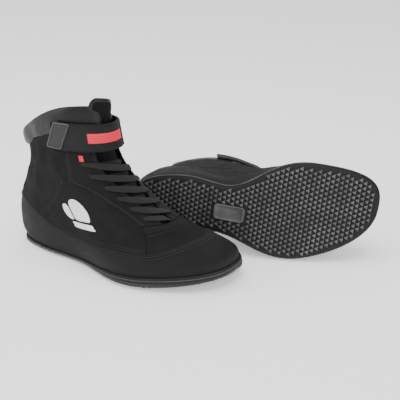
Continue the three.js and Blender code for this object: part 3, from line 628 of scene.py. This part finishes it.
def panel(edges, columns, rows, out, lap=0.0, fold=0.25, thick=1.3):
    """Sheet between two edges. It laps past both by some mm, and its border rolls down."""
    low, high = edges
    t, w = np.meshgrid(eased(columns), eased(rows))
    a, b = low(t), high(t)
    span = np.linalg.norm(last(a[..., 0], a[..., 1]) - last(b[..., 0], b[..., 1]), axis=-1)
    lapped = w + (2 * w - 1) * lap / np.maximum(span, 4)
    place = a + (b - a) * lapped[..., None]
    length = np.linalg.norm(np.diff(last(a[rows // 2, :, 0], a[rows // 2, :, 1]), axis=0), axis=-1).sum()
    border = np.minimum(np.minimum(w, 1 - w) * span, np.minimum(t, 1 - t) * length)
    folds = creases(place[..., 0], place[..., 1], fold) * smooth(0, 8, border)
    height = out + folds - 0.75 * np.exp(-border / 0.35)
    return over(place[..., 0], place[..., 1], height), over(place[..., 0], place[..., 1], out - thick)


def stitches(path, out, pitch=2.6, length=1.7, width=0.34):
    """A row of threads along a path of turns and rises: each a short six-sided bead, sunk at its ends."""
    points = over(path[:, 0], path[:, 1], out)
    run = np.concatenate([[0], np.cumsum(np.linalg.norm(np.diff(points, axis=0), axis=1))])
    count = max(int(run[-1] / pitch), 1)
    at = (np.arange(count) + 0.5) * run[-1] / count
    step = np.array([-0.5, -0.3, 0.3, 0.5])
    where = at[:, None] + step * length
    centre = np.stack([np.interp(where, run, points[:, k]) for k in range(3)], -1)
    turn, rise = (np.interp(at, run, path[:, k]) for k in (0, 1))
    up = normal(turn, rise)[:, None, :]
    ahead = unit(centre[:, -1:] - centre[:, :1])
    aside = np.cross(ahead, up)
    angle = np.arange(6) * np.pi / 3
    fat = np.array([0.35, 1, 1, 0.35]) * width
    lift = np.array([-0.25, 0.15, 0.15, -0.25])
    ring = centre[:, :, None, :] + up[:, :, None, :] * lift[None, :, None, None]
    ring = ring + fat[None, :, None, None] * (
        np.cos(angle)[None, None, :, None] * aside[:, :, None, :]
        + np.sin(angle)[None, None, :, None] * up[:, :, None, :]
    )
    verts = ring.reshape(-1, 3)
    one = quads(4, 6, wrap=True)
    caps = np.array([[5, 4, 3, 2, 1, 0], [18, 19, 20, 21, 22, 23]])
    bases = np.arange(count)[:, None, None] * 24
    faces = [(one[None] + bases).reshape(-1, 4), (caps[None] + bases).reshape(-1, 6)]
    uv = np.tile(np.stack(np.meshgrid(np.arange(6) * 0.3, np.arange(4) * 0.5), -1).reshape(-1, 2), (count, 1))
    return verts, faces, uv


def inset(edges, t, distance, from_high=False):
    """Points at a distance in mm inside one of a panel's two edges."""
    low, high = edges
    a, b = low(t), high(t)
    span = np.linalg.norm(last(a[:, 0], a[:, 1]) - last(b[:, 0], b[:, 1]), axis=-1)[:, None]
    w = distance / np.maximum(span, 2 * abs(distance) + 0.5)
    return b + (a - b) * w if from_high else a + (b - a) * w


# ---- bottom ----


def spring(x):
    """Height of the sole's underside: flat, then rising with the square towards the toe."""
    p = np.clip(x / BOOT_LENGTH, 0, 1)
    return TOE_SPRING * (np.maximum(p - 0.62, 0) / 0.38) ** 2


def spring_at(turn):
    p = (1 - np.cos(turn)) / 2
    return TOE_SPRING * (np.maximum(p - 0.62, 0) / 0.38) ** 2


def sole_ring(turns, margin, height):
    """Sole outline drawn in by a margin in the plane, at given heights."""
    edge = last(turns, 0)
    flat = unit(normal(turns, 0) * [1, 1, 0])
    ring = edge - flat * margin
    ring[:, 2] = height
    return ring


def rim_rise(turn):
    return 0.012 + 0.03 * smooth(0.35, 0.6, (1 - np.cos(turn)) / 2)


RELIEF = 1.5
RING = np.linspace(0, 2 * np.pi, 361)[:-1]


def sole_shell():
    """Sole: flat underside for the tread, rounded edge, rim up the side, bed inside."""
    t = RING
    ground = spring_at(t)
    z0 = last(t, 0)[:, 2]
    inner = PANEL + 0.1
    outer = PANEL + 0.35 + 1.8
    rings = [
        sole_ring(t, 1.6, ground + RELIEF), sole_ring(t, 1.2, ground + RELIEF),
        sole_ring(t, 0.2, ground + RELIEF + 0.1), sole_ring(t, -1.0, ground + RELIEF + 0.5),
        sole_ring(t, -outer, (ground + 1.6 + z0) / 2), over(t, 0.6 * rim_rise(t), outer),
        over(t, rim_rise(t), outer - 0.35), over(t, rim_rise(t) + 0.002, inner + 0.4), over(t, rim_rise(t), inner),
        over(t, 0, inner), sole_ring(t, 5.0, z0 - 1.0),
    ]
    rings = np.stack(rings)
    n, k = rings.shape[:2]
    faces = quads(n, k, wrap=True)
    lids = []
    for base, ring in ((0, rings[0]), ((n - 1) * k, rings[-1])):
        half = k // 2
        i = np.arange(0, half)
        lids.append(np.stack([base + i, base + i + 1, base + (k - i - 1) % k, base + (k - i) % k], -1))
    under = lids[0][1:-1, ::-1]
    bed = lids[1][1:-1]
    ends = np.array([
        [lids[0][0, 0], lids[0][0, 2], lids[0][0, 1]], [lids[0][-1, 0], lids[0][-1, 3], lids[0][-1, 1]],
        [lids[1][0, 0], lids[1][0, 1], lids[1][0, 2]], [lids[1][-1, 0], lids[1][-1, 1], lids[1][-1, 3]],
    ])
    grid = np.concatenate([rings, rings[:, :1]], 1)
    uv = lengths(grid)[:, :k].reshape(-1, 2)
    return rings.reshape(-1, 3), [np.concatenate([faces, under, bed]), ends], uv


def inside_outline(x, y, margin):
    """True where a point of the sole's plane lies inside its outline by a margin."""
    ring = sole_ring(RING, margin, 0)[:, :2]
    angle_hits = np.zeros(x.shape, int)
    a, b = ring, np.roll(ring, -1, 0)
    for (x0, y0), (x1, y1) in zip(a, b):
        crosses = (y0 > y) != (y1 > y)
        with np.errstate(divide="ignore", invalid="ignore"):
            hit = x < (x1 - x0) * (y - y0) / (y1 - y0) + x0
        angle_hits += crosses & hit
    return angle_hits % 2 == 1


LUG_SIDE = 5.9
LUG_ROW = 5.1
PLATE = (95, 131, -15, 3)


def lugs():
    """Tread: rows of triangles that point to the heel, each row moved on by half a triangle."""
    tall = LUG_ROW - 0.35
    cells = []
    for row in range(-1, int(BOOT_LENGTH / LUG_ROW) + 2):
        y = (np.arange(-14, 15) + 0.5 * (row % 2)) * LUG_SIDE
        cells.append(np.stack([np.full(y.shape, row * LUG_ROW + 0.4), y], -1))
    cell = np.concatenate(cells)
    shape = np.array([[0.04, 0.0], [1.0, -0.47], [1.0, 0.47]])
    corners = cell[:, None] + shape * [tall, LUG_SIDE]
    keep = np.all(inside_outline(corners[..., 0], corners[..., 1], -1.2), 1)
    middle = corners.mean(1)
    away = np.abs(middle - [(PLATE[0] + PLATE[1]) / 2, (PLATE[2] + PLATE[3]) / 2])
    plate = np.all(away < [(PLATE[1] - PLATE[0]) / 2 + 2.6, (PLATE[3] - PLATE[2]) / 2 + 2.6], 1)
    corners = corners[keep & ~plate]
    middle = corners.mean(1, keepdims=True)
    top = middle + (corners - middle) * 0.78
    n = len(corners)

    def high(points, rise):
        return np.concatenate([points, (spring(points[..., :1]) + rise)], -1)

    shoulder = middle + (corners - middle) * 0.88
    verts = np.concatenate([high(corners, RELIEF + 0.3), high(shoulder, 0.35), high(top, 0.0)], 1)
    one = quads(3, 3, wrap=True)
    base = np.arange(n)[:, None, None] * 9
    caps = np.array([[2, 1, 0], [6, 7, 8]])
    faces = [(one[None] + base).reshape(-1, 4), (caps[None] + base).reshape(-1, 3)]
    flat = verts.reshape(-1, 3)
    return flat, faces, flat[:, :2].copy()


def rounded_box(x0, x1, y0, y1, low, high, radius=4.0, count=10):
    """Plate on the sole's plane: a rounded rectangle with a bevelled edge, facing down."""
    angle = np.linspace(0, np.pi / 2, count)
    corner = [(x1, y1, 0), (x0, y1, 1), (x0, y0, 2), (x1, y0, 3)]
    ring = []
    for cx, cy, q in corner:
        a = angle + q * np.pi / 2
        sx, sy = (1 if cx == x1 else -1), (1 if cy == y1 else -1)
        ring.append(np.stack([cx - sx * radius + np.cos(a) * radius, cy - sy * radius + np.sin(a) * radius], -1))
    ring = np.concatenate(ring)
    middle = ring.mean(0)
    layers = [(1.0, low), (1.0, high + 0.5), (0.975, high), (0.86, high), (0.84, high + 0.5), (0.4, high + 0.5)]
    rings = np.stack([
        np.concatenate([middle + (ring - middle) * s, np.full((len(ring), 1), z)], -1) for s, z in layers
    ])
    return tube(rings)


# ---- throat, lace and strap routes ----

def eyelet_rise(row):
    """Rise of a row of eyelets: straight from the lowest row to the highest."""
    return EYELET_LOW + (EYELET_HIGH - EYELET_LOW) * np.asarray(row, float) / (EYELET_ROWS - 1)


def eyelet_reach(row):
    """Distance in mm of a row's eyelets from the throat's middle line, Catmull-Rom through keys."""
    return along(EYELET_HALF_WIDTH, np.asarray(row, float) / (EYELET_ROWS - 1))


LACE_UNDER = -0.85 - 1.3
LACE_OVER = PANEL + 0.85 + 0.65


def lace_route():
    """Knots of the lace: u beside the throat, row, distance off the last, share of the full width."""
    route = [(9.5, -0.52, LACE_UNDER, 0.6), (7.4, -0.5, LACE_UNDER, 0.7), (4, -0.42, LACE_OVER * 0.3, 0.8),
             (0, -0.3, LACE_OVER, 0.9), (-6.5, -0.12, LACE_OVER, 0.9)]
    halfway = (LACE_UNDER + LACE_OVER) / 2
    for row in range(EYELET_ROWS):
        reach = float(eyelet_reach(row))
        route += [(-(reach - 0.9), row, LACE_OVER, 0.62), (-(reach + 0.5), row, halfway, 0.46),
                  (-(reach - 0.9), row, LACE_UNDER, 0.56)]
        route += [(w * reach, row, LACE_UNDER, 1 - w * w) for w in (-0.65, -0.35, 0, 0.35, 0.65)]
        if row < EYELET_ROWS - 1:
            after = float(eyelet_reach(row + 1))
            route += [(reach - 0.9, row, LACE_UNDER, 0.56), (reach + 0.5, row, halfway, 0.46),
                      (reach - 0.9, row, LACE_OVER, 0.62)]
            for w in (0.2, 0.4, 0.6, 0.8):
                width = 1.08 - 0.4 * abs(2 * w - 1) ** 3
                route.append((reach - (reach + after) * w, row + w, LACE_OVER + 0.25, width))
    return np.array(route)


def lace():
    """Flat lace: a rounded strip swept through its knots, with a slight twist from row to row."""
    knots = lace_route()
    s = np.linspace(0, len(knots) - 1, (len(knots) - 1) * 5 + 1)
    rise = eyelet_rise(knots[:, 1])
    turn = beside_throat(knots[:, 0], rise)
    centre = through(over(turn, rise, knots[:, 2]), s)
    up = unit(through(last(turn, rise + 0.01) - last(turn, rise - 0.01), s))
    ahead = unit(np.gradient(centre, axis=0))
    across = unit(up - ahead * np.sum(up * ahead, -1, keepdims=True))
    thick = np.cross(ahead, across)
    twist = 0.16 * np.sin(s * 0.9) * smooth(0.6, 1.0, through(knots[:, 3], s))
    across, thick = (across * np.cos(twist)[:, None] + thick * np.sin(twist)[:, None],
                     thick * np.cos(twist)[:, None] - across * np.sin(twist)[:, None])
    half = (LACE_WIDTH / 2) * through(knots[:, 3], s)
    angle = np.arange(16) * np.pi / 8
    c, q = np.cos(angle), np.sin(angle)
    wide = np.sign(c) * np.abs(c) ** 0.6
    deep = np.sign(q) * np.abs(q) ** 0.75
    ring = centre[:, None] + across[:, None] * (half[:, None] * wide)[..., None]
    ring = ring + thick[:, None] * (deep * LACE_THICKNESS / 2)[None, :, None]
    verts, groups, uv = tube(ring)
    uv[: ring.shape[0] * 16, 0] = (half[:, None] * wide).ravel()
    return verts, groups, uv


LOOP_IN = PANEL + 0.35
FLAP_IN = LOOP_IN + 2 * (1 + 0.35)


def strap_inner(share):
    """Distance of the strap's inner side off the last, by two smooth steps.

    It goes from the tapes' height out to the standoff, then down to the panel where it is sewn.
    """
    front = STRAP_STANDOFF - FLAP_IN
    sewn = PANEL + 0.35 - STRAP_STANDOFF
    return FLAP_IN + front * smooth(0.72, 1, share) + sewn * smooth(1.12, 1.34, share)


def on_strap(share, z, out):
    """Point of the strap's outer side at a share round the shaft and a height."""
    turn = np.pi * share
    return over(turn, rise_at_height(turn, z), strap_inner(share) + STRAP_THICKNESS + out)


def strap_band(start, end, low, high, top, bottom, slant=0.0, columns=90, rows=18, ridge=0.0, end_slant=0.0):
    """Band round the shaft: a slanted first end, rolled borders and a raised ridge near both edges."""
    s, w = np.meshgrid(eased(columns, 0.006), eased(rows, 0.02))
    first = start + slant * w
    share = first + (end + end_slant * w - first) * s
    z = low + (high - low) * w
    edge = np.minimum(w, 1 - w) * (high - low)
    length = (end - start) * np.pi * 40
    border = np.minimum(edge, np.minimum(s, 1 - s) * length)
    bulge = ridge * np.exp(-((edge - 1.6) / 0.8) ** 2) + 0.12 * np.sin(share * 34 + z * 0.25)
    out = top + bulge - 0.6 * np.exp(-border / 0.3)
    return on_strap(share, z, out), on_strap(share, z, bottom + 0 * out)


def collar():
    """Collar roll: an oval section round the ankle, thin at the front, puffed and pinched by creases."""
    steps, sides = 260, 36
    reach = 0.905
    turn = np.pi * reach * np.linspace(1, -1, steps)
    share = np.abs(turn) / np.pi
    low, high = last(turn, COLLAR_LINE - 0.005), last(turn, 1.0)
    n = normal(turn, (COLLAR_LINE + 1.008) / 2)
    up = high - low
    front = smooth(0.5, 0.68, share)
    thick = (COLLAR_THICKNESS + 1.5) * (1 - front) + 4.6 * front
    thick = thick + 0.6 * np.sin(turn * 6 + 0.8) * (1 - front)
    outer = 1.6 + 3.4 * (1 - smooth(0.1, 0.3, share))
    end = np.minimum(1, (reach - share) / 0.05)
    shut = np.sqrt(np.clip(1 - (1 - end) ** 2, 0.02, 1))
    centre = (low + high) / 2 + n * (outer - thick / 2)[:, None]
    angle = 2 * np.pi * np.arange(sides) / sides
    c, q = np.cos(angle), np.sin(angle)
    wide = np.sign(c) * np.abs(c) ** 0.8
    tall = np.sign(q) * np.abs(q) ** 0.72
    wave = np.sin(turn[:, None] * 9 + 2.2 * q) * np.sin(turn[:, None] * 4 + 1.3)
    pinch = 1 + 0.06 * wave + 0.02 * np.sin(turn[:, None] * 21 - 3 * q) * np.sin(turn[:, None] * 5)
    ring = centre[:, None] + n[:, None] * (wide * pinch * (thick * shut)[:, None] / 2)[..., None]
    ring = ring + up[:, None] * (tall[None, :] * shut[:, None] / 2)[..., None]
    return tube(ring)


def rope(turn, rise, out, radius, sides=10):
    """Round cord along a path on the last."""
    centre = over(turn, rise, out)
    ahead = unit(np.gradient(centre, axis=0))
    n = normal(turn, rise)
    side = unit(np.cross(ahead, n))
    n = np.cross(side, ahead)
    angle = 2 * np.pi * np.arange(sides) / sides
    radius = np.broadcast_to(radius, turn.shape)
    ring = centre[:, None] + radius[:, None, None] * (
        np.cos(angle)[None, :, None] * n[:, None] + np.sin(angle)[None, :, None] * side[:, None]
    )
    return tube(ring)


TONGUE_OUT = LACE_UNDER - 0.65 - 1.15
TONGUE_IN = TONGUE_OUT - 4.5


TONGUE_TOP = 1.035


def tongue_middle(rise):
    """Turn of the tongue's middle line, which drifts to the medial side above the strap."""
    return beside_throat(5.0 * smooth(0.8, 1.0, rise), rise)


def tongue_reach(rise):
    """Half of the tongue's spread, narrowing to a rounded top."""
    spread = 0.165 + 0.06 * smooth(0.4, 0.9, rise)
    return np.pi * spread * np.sqrt(np.clip(1 - 0.45 * np.clip((rise - 0.97) / 0.065, 0, 1) ** 3, 0, 1))


def tongue_lean(rise):
    """Forward lean of the free top, away from the last."""
    return 6.0 * smooth(0.86, 1.04, rise)


def tongue():
    """Padded tongue: a sheet from under the vamp to above the collar, quilted in long channels."""
    t, w = np.meshgrid(eased(40, 0.03), eased(110, 0.006))
    rise = 0.4 + (TONGUE_TOP - 0.4) * w
    turn = tongue_middle(rise) + tongue_reach(rise) * (2 * t - 1)
    border = np.minimum(np.minimum(t, 1 - t) * 36, np.minimum(w, 1 - w) * 140)
    puff = 0.7 * np.abs(np.sin(t * np.pi * 3)) ** 0.6 * smooth(0.0, 5, border) - 0.6 * np.exp(-border / 0.6)
    free = smooth(0.82, 0.95, w)
    lean = tongue_lean(rise)
    outer = over(turn, rise, TONGUE_OUT + puff * (0.3 + 0.7 * free) + 0.8 * free + lean)
    inner = over(turn, rise, TONGUE_IN - 0.3 * puff + 1.2 * np.exp(-border / 1.2) + lean)
    return slab(outer, inner)


def lining():
    """Sleeve inside the upper, open along the throat."""
    c, r = np.meshgrid(np.linspace(0, 1, 150), np.linspace(0.02, 0.86, 70))
    open_up = smooth(0.3, 0.37, r)
    reach = along(EYELET_HALF_WIDTH, np.clip((r - EYELET_LOW) / (EYELET_HIGH - EYELET_LOW), 0, 1))
    gap = 0.6 + (reach + EYELET_RADIUS + 4.0) * open_up
    middle = np.pi * (1 - open_up) + beside_throat(0 * r, r) * open_up
    centre = last(middle, r)[..., 1]
    start, end = turn_at_y(centre - gap, r), turn_at_y(centre + gap, r) - 2 * np.pi
    turn = start + (end - start) * c
    return slab(over(turn, r, -2.75 + creases(turn, r, 0.2)), over(turn, r, -3.95))


def blob(outline, share, rise, out, thick, samples=120):
    """Raised shape on the last: a closed curve round its own middle, domed and bevelled at the edge."""
    keys = np.array(outline, float)
    count = len(keys)
    wrapped = np.concatenate([keys[-1:], keys, keys[:2]])
    ring = through(wrapped, 1 + np.arange(samples) * count / samples)
    middle = ring.mean(0)
    turn = np.pi * share
    per_turn = np.linalg.norm(last(turn + 0.02, rise) - last(turn - 0.02, rise)) / 0.04
    per_rise = np.linalg.norm(last(turn, rise + 0.02) - last(turn, rise - 0.02)) / 0.04
    layers = [(0.3, out), (1.0, out), (1.0, out + thick * 0.7)]
    layers += [(0.97, out + thick), (0.6, out + thick), (0.2, out + thick)]
    rings = []
    for s, height in layers:
        p = middle + (ring - middle) * s
        rings.append(over(turn + p[:, 0] / per_turn, rise + p[:, 1] / per_rise, height))
    return tube(np.stack(rings))

# ---- the camera ----
VIEW_PLACE = Vector((0.5861, -0.6250, 0.4079))
VIEW_YAW, VIEW_PITCH = -0.5659, -0.3942
ahead = Vector((
    math.cos(VIEW_PITCH) * math.sin(VIEW_YAW), math.cos(VIEW_PITCH) * math.cos(VIEW_YAW), math.sin(VIEW_PITCH),
))
aside = Vector((math.cos(VIEW_YAW), -math.sin(VIEW_YAW), 0))
above = aside.cross(ahead)
camera_data = bpy.data.cameras.new("camera")
camera_data.sensor_width = 36
camera_data.lens = 36 * 778.3 / 400
camera = bpy.data.objects.new("camera", camera_data)
camera.matrix_world = Matrix((
    (aside.x, above.x, -ahead.x, VIEW_PLACE.x),
    (aside.y, above.y, -ahead.y, VIEW_PLACE.y),
    (aside.z, above.z, -ahead.z, VIEW_PLACE.z),
    (0, 0, 0, 1),
))
bpy.context.scene.collection.objects.link(camera)
bpy.context.scene.camera = camera

# ---- the boots ----
# The left boot lies with the lowest point of its sole where the frame's outsole has it.
SHELL = sole_shell()
LEFT_SHIFT[2] = (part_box("left_outsole")[0][2] - placed("left", SHELL[0])[:, 2].min()) * 1000

make("sole", SHELL, SOLE, replaces=("outsole",))
make("tread", lugs(), LUG, smooth_shade=False)
make("sole_plate", joined([
    rounded_box(*PLATE, RELIEF + 0.4, 0.2),
    *[rounded_box(PLATE[0] + 6, PLATE[1] - 6, y, y + 1.6, RELIEF, 0.35, radius=0.7, count=5)
      for y in (-11.6, -8.4, -5.2, -2.0)],
]), LUG)
zigzag = np.linspace(0, 2 * np.pi, 1921)[:-1]
teeth = np.abs((zigzag * 96 / np.pi) % 2 - 1) * 2 - 1
wall_height = (last(zigzag, 0)[:, 2] + spring_at(zigzag)) / 2 + 0.9


def wall_ridge(sign):
    """Thin ridge zigzagging along the side wall: the tread's triangles carried up the edge."""
    centre = sole_ring(zigzag, -3.5, wall_height + 2.0 * sign * teeth)
    flat = unit(normal(zigzag, 0) * [1, 1, 0])
    angle = 2 * np.pi * np.arange(5) / 5
    up = np.array([0, 0, 1.0])
    ring = centre[:, None] + 0.42 * (
        np.cos(angle)[None, :, None] * flat[:, None] + np.sin(angle)[None, :, None] * up
    )
    return tube(ring, closed=True)


make("wall_ridges", joined([wall_ridge(1), wall_ridge(-1)]), LUG)
make("sole_edge_line", joined([
    tube(np.stack([over(RING, rim_rise(RING) * 0.55 + 0.003 * d, 3.6 + 0.25 * e) for d, e in
                   ((-1, -2), (-1, 0.6), (0, 1.2), (1, 0.6), (1, -2))], 1), closed=True),
]), RIM)

rand_turn, rand_w = np.meshgrid(np.linspace(0, 2 * np.pi, 321)[:-1], eased(30, 0.02))
rand_top_rise = rand_top(share_of(rand_turn))
rand_rise = 0.003 + (rand_top_rise + 0.006 - 0.003) * rand_w
rand_border = (1 - rand_w) * rand_top_rise * 130
rand_out = 1.5 + creases(rand_turn, rand_rise, 0.25) - 0.8 * np.exp(-rand_border / 0.35)
outer = over(rand_turn, rand_rise, rand_out)
inner = over(rand_turn, rand_rise, 0.1)
rand_rings = np.concatenate([outer, inner[::-1]], 0)
make("rand_cloth", tube(rand_rings, closed=True), SMOOTH, replaces=("rand",))

VAMP_EDGES = vamp_edges()
make("vamp_cloth", slab(*panel(VAMP_EDGES, 110, 34, 1.0, lap=1.5, fold=0.4)), MESH, replaces=("vamp",))
for side, word in ((-1, "lateral"), (1, "medial")):
    make(f"{word}_quarter_cloth", slab(*panel(quarter_edges(side), 110, 50, 1.1, lap=1.4, fold=0.6)), MESH,
         replaces=(f"{word}_quarter",))
make("ankle_cloth", slab(*panel(ankle_edges(), 240, 50, 0.9, lap=1.2, fold=0.7)), MESH, replaces=("ankle_panel",))
for side, word in ((-1, "lateral"), (1, "medial")):
    outer, inner = panel(eyestay_edges(side), 150, 34, 1.75, lap=0.5, fold=0.15, thick=1.5)
    pieces = make(f"{word}_facing", slab(outer, inner), FACING, replaces=(f"{word}_eyestay",))
    holes = []
    for row in range(EYELET_ROWS):
        rise = float(eyelet_rise(row))
        turn = float(beside_throat(side * eyelet_reach(row), rise))
        around = 2 * np.pi * np.arange(20) / 20
        per_turn = np.linalg.norm(last(turn + 0.02, rise) - last(turn - 0.02, rise)) / 0.04
        per_rise = np.linalg.norm(last(turn, rise + 0.02) - last(turn, rise - 0.02)) / 0.04
        rings = [
            over(turn + np.cos(around) * r / per_turn, rise + np.sin(around) * r / per_rise, h)
            for r, h in ((3.3, 1.7), (3.2, 1.95), (2.9, 2.0), (2.6, 1.9), (2.5, 1.2))
        ]
        holes.append(tube(np.stack(rings)))
    make(f"{word}_eyelets", joined(holes), PIPING)

for piece in make("collar_roll", collar(), LEATHER, replaces=("collar_pad",)):
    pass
for piece in make("tongue_pad", tongue(), TONGUE_MESH, replaces=("tongue",)):
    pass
make("inner_sleeve", lining(), LINING, replaces=("lining",))
make("flat_lace", lace(), LACE, replaces=("lace",))

# Rolled binding: up one side of the tongue, over its rounded top and down the other side.
side_rise = np.linspace(0.8, TONGUE_TOP, 60)
top_share = np.linspace(1, -1, 40)[1:-1]
roll_rise = np.concatenate([side_rise, np.full(38, TONGUE_TOP), side_rise[::-1]])
roll_share = np.concatenate([np.full(60, 1.0), top_share, np.full(60, -1.0)])
roll_turn = tongue_middle(roll_rise) + tongue_reach(roll_rise) * roll_share
roll_out = (TONGUE_IN + TONGUE_OUT) / 2 + 0.8 + tongue_lean(roll_rise)
make("tongue_roll", rope(roll_turn, roll_rise, roll_out, 2.8, 14), PIPING, replaces=("tongue_binding",))

# Strap: the flap with its free end, and the part sewn to the medial side.
half = STRAP_WIDTH / 2
low_z, high_z = STRAP_HEIGHT - half, STRAP_HEIGHT + half
TAB_START, TAB_SPAN, TAB_SLANT = 0.465, 0.11, 0.08
flap_band = strap_band(TAB_START, 1.094, low_z, high_z, 0.0, -2.0, slant=TAB_SLANT, columns=150, ridge=0.35)
make("strap_cloth", slab(*flap_band), WEBBING, on="strap", replaces=("strap_flap",))
make("strap_sewn", slab(*strap_band(1.106, 1.52, low_z, high_z, 0.0, -2.0, columns=90, ridge=0.35)), WEBBING,
     replaces=("strap_anchor",))
tab_band = strap_band(TAB_START, TAB_START + TAB_SPAN, low_z + 0.6, high_z - 0.6, 0.6, 0.1,
                      slant=TAB_SLANT, end_slant=TAB_SLANT, columns=40)
make("strap_tab", slab(*tab_band), GREY_TAB, on="strap", replaces=("strap_tip",))

corners = [(0.006, 1.3), (0.006, 28.7), (TAB_SPAN - 0.004, 28.7), (TAB_SPAN - 0.004, 1.3), (0.006, 1.3)]
around_tab = np.concatenate([
    np.stack([
        TAB_START + np.linspace(a[0], b[0], 16) + TAB_SLANT * np.linspace(a[1], b[1], 16) / STRAP_WIDTH,
        low_z + np.linspace(a[1], b[1], 16),
    ], -1)[:-1] for a, b in zip(corners[:-1], corners[1:])
])


def strap_rope(path, out, radius, closed=False):
    """Piping laid on the strap along shares and heights."""
    centre = on_strap(path[:, 0], path[:, 1], out)
    n = normal(np.pi * path[:, 0], rise_at_height(np.pi * path[:, 0], path[:, 1]))
    ahead = unit(np.roll(centre, -1, 0) - np.roll(centre, 1, 0) if closed else np.gradient(centre, axis=0))
    side = unit(np.cross(ahead, n))
    angle = 2 * np.pi * np.arange(10) / 10
    ring = centre[:, None] + radius * (
        np.cos(angle)[None, :, None] * n[:, None] + np.sin(angle)[None, :, None] * side[:, None]
    )
    return tube(ring, closed=closed)


make("tab_piping", strap_rope(around_tab, 0.55, 0.75, closed=True), GREY_PIPING, on="strap")
edges = np.linspace(TAB_START + TAB_SPAN + 0.05, 1.09, 120)
make("strap_edge_bands", joined([
    strap_rope(np.stack([edges, np.full(120, z)], -1), -0.2, 0.75) for z in (low_z + 0.9, high_z - 0.9)
]), EDGE_WEBBING, on="strap")
back_edges = np.linspace(1.11, 1.515, 80)
make("sewn_edge_bands", joined([
    strap_rope(np.stack([back_edges, np.full(80, z)], -1), -0.2, 0.75) for z in (low_z + 0.9, high_z - 0.9)
]), EDGE_WEBBING)

# Sewn fold that the free part of the strap turns about.
fold_z = np.linspace(low_z + 0.4, high_z - 0.4, 40)
make("strap_fold", strap_rope(np.stack([np.full(40, 1.1), fold_z], -1), -1.1, 2.3), WEBBING)

# Plain red block on the front of the strap, moulded with four long ribs.
block = [slab(*strap_band(0.765, 1.06, STRAP_HEIGHT - 5.4, STRAP_HEIGHT + 5.4, 0.75, 0.0, columns=60, rows=10))]
for line in range(4):
    z = STRAP_HEIGHT - 4.6 + line * 2.5
    block.append(slab(*strap_band(0.772, 1.053, z, z + 1.7, 1.3, 0.5, columns=60, rows=5)))
make("red_block", joined(block), RED, on="strap", replaces=("strap_label",))

# Emblem: a plain boxing glove in white: mitt, thumb and cuff, with gaps between them.
EMBLEM_PLACE = (0.53, 0.41)
GLOVE = [
    [[-5.5, -5], [5, -5.5], [13.5, -5], [17, 0], [19.5, 9],
     [17, 17], [10, 21.5], [1, 21], [-5, 16], [-6, 5]],
    [[-9.2, -5], [-8.8, 3], [-9.2, 11], [-13.5, 14], [-18.5, 11], [-20, 3], [-17.5, -3.5], [-13, -6]],
    [[-12.5, -9.2], [0, -8.8], [13.5, -8.8], [14, -12.5],
     [13.4, -16.2], [0, -16.6], [-12.5, -16.2], [-13, -12.5]],
]
make("glove_emblem", joined([blob(shape, *EMBLEM_PLACE, 1.3, 0.75) for shape in GLOVE]), WHITE, replaces=("emblem",))

# Stitching.
t = np.linspace(0.01, 0.99, 160)
rows = []
for side in (-1, 1):
    low_high = quarter_edges(side)
    low, high = low_high
    for distance in (2.2, 4.6):
        rows.append(stitches(inset(low_high, t, distance), 1.15))
    w = np.linspace(0.03, 0.97, 60)[:, None]
    for distance in (2.0, 4.4, 6.8):
        near = low(np.full(1, distance / 150))[0], high(np.full(1, distance / 130))[0]
        rows.append(stitches(near[0] + (near[1] - near[0]) * w, 1.15))
    facing = eyestay_edges(side)
    rows.append(stitches(inset(facing, t, 2.2), 1.8))
    rows.append(stitches(inset(facing, t, 4.2), 1.8))
    rows.append(stitches(inset(facing, t, 2.4, from_high=True), 1.8))
for distance in (2.5, 5.0, 7.5, 12.0):
    rows.append(stitches(inset(VAMP_EDGES, np.linspace(0.03, 0.97, 120), distance, from_high=True), 1.05))
rand_line = np.linspace(0.0, 2 * np.pi, 500)
for drop in (0.013, 0.028):
    rows.append(stitches(np.stack([rand_line, rand_top(share_of(rand_line)) - drop], -1), 1.8))
make("stitching", joined(rows), THREAD)

# Plain frame pieces that show only from some sides get their cloth too.
FRAME_FINISHES = {
    "insole_board": BOARD, "sockliner": INSOLE, "heel_counter": BOARD, "toe_puff": BOARD,
    "hook_patch": HOOKS, "loop_patch": HOOKS, "size_tag": RED,
}
for side in SIDES:
    for node, finish in FRAME_FINISHES.items():
        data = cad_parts[f"{side}_{node}"].data
        data.materials.clear()
        data.materials.append(finish)

# ---- floor and light ----
floor_mesh = bpy.data.meshes.new("floor")
floor_mesh.from_pydata([(-6, -6, 0), (6, -6, 0), (6, 6, 0), (-6, 6, 0)], [], [(0, 1, 2, 3)])
floor = bpy.data.objects.new("floor", floor_mesh)
paper = Finish("white_paper", (0.93, 0.93, 0.93), 0.9, Emission_Color=(1, 1, 1, 1), Emission_Strength=0.42)
paper.bump(paper.noise(200.0), 0.02)
floor_mesh.materials.append(paper.material)
bpy.context.scene.collection.objects.link(floor)

world = bpy.data.worlds.new("studio")
bpy.context.scene.world = world
world.use_nodes = True
world.node_tree.nodes["Background"].inputs[0].default_value = (1, 1, 1, 1)
world.node_tree.nodes["Background"].inputs[1].default_value = 1.0


def softbox(name, place, aim, size, power):
    """Area light at a place, turned to aim at a point."""
    data = bpy.data.lights.new(name, "AREA")
    data.shape, data.size, data.size_y, data.energy = "RECTANGLE", size[0], size[1], power
    lamp = bpy.data.objects.new(name, data)
    lamp.location = place
    lamp.rotation_euler = (Vector(aim) - Vector(place)).to_track_quat("-Z", "Y").to_euler()
    bpy.context.scene.collection.objects.link(lamp)


softbox("top_box", (0.1, -0.1, 1.5), (0.1, 0.1, 0.05), (1.4, 1.0), 16)
softbox("left_box", (-1.2, -1.0, 0.9), (0.05, 0, 0.1), (0.8, 1.2), 9)
softbox("right_box", (1.5, -0.9, 0.8), (0.15, 0.05, 0.08), (0.8, 1.0), 9)
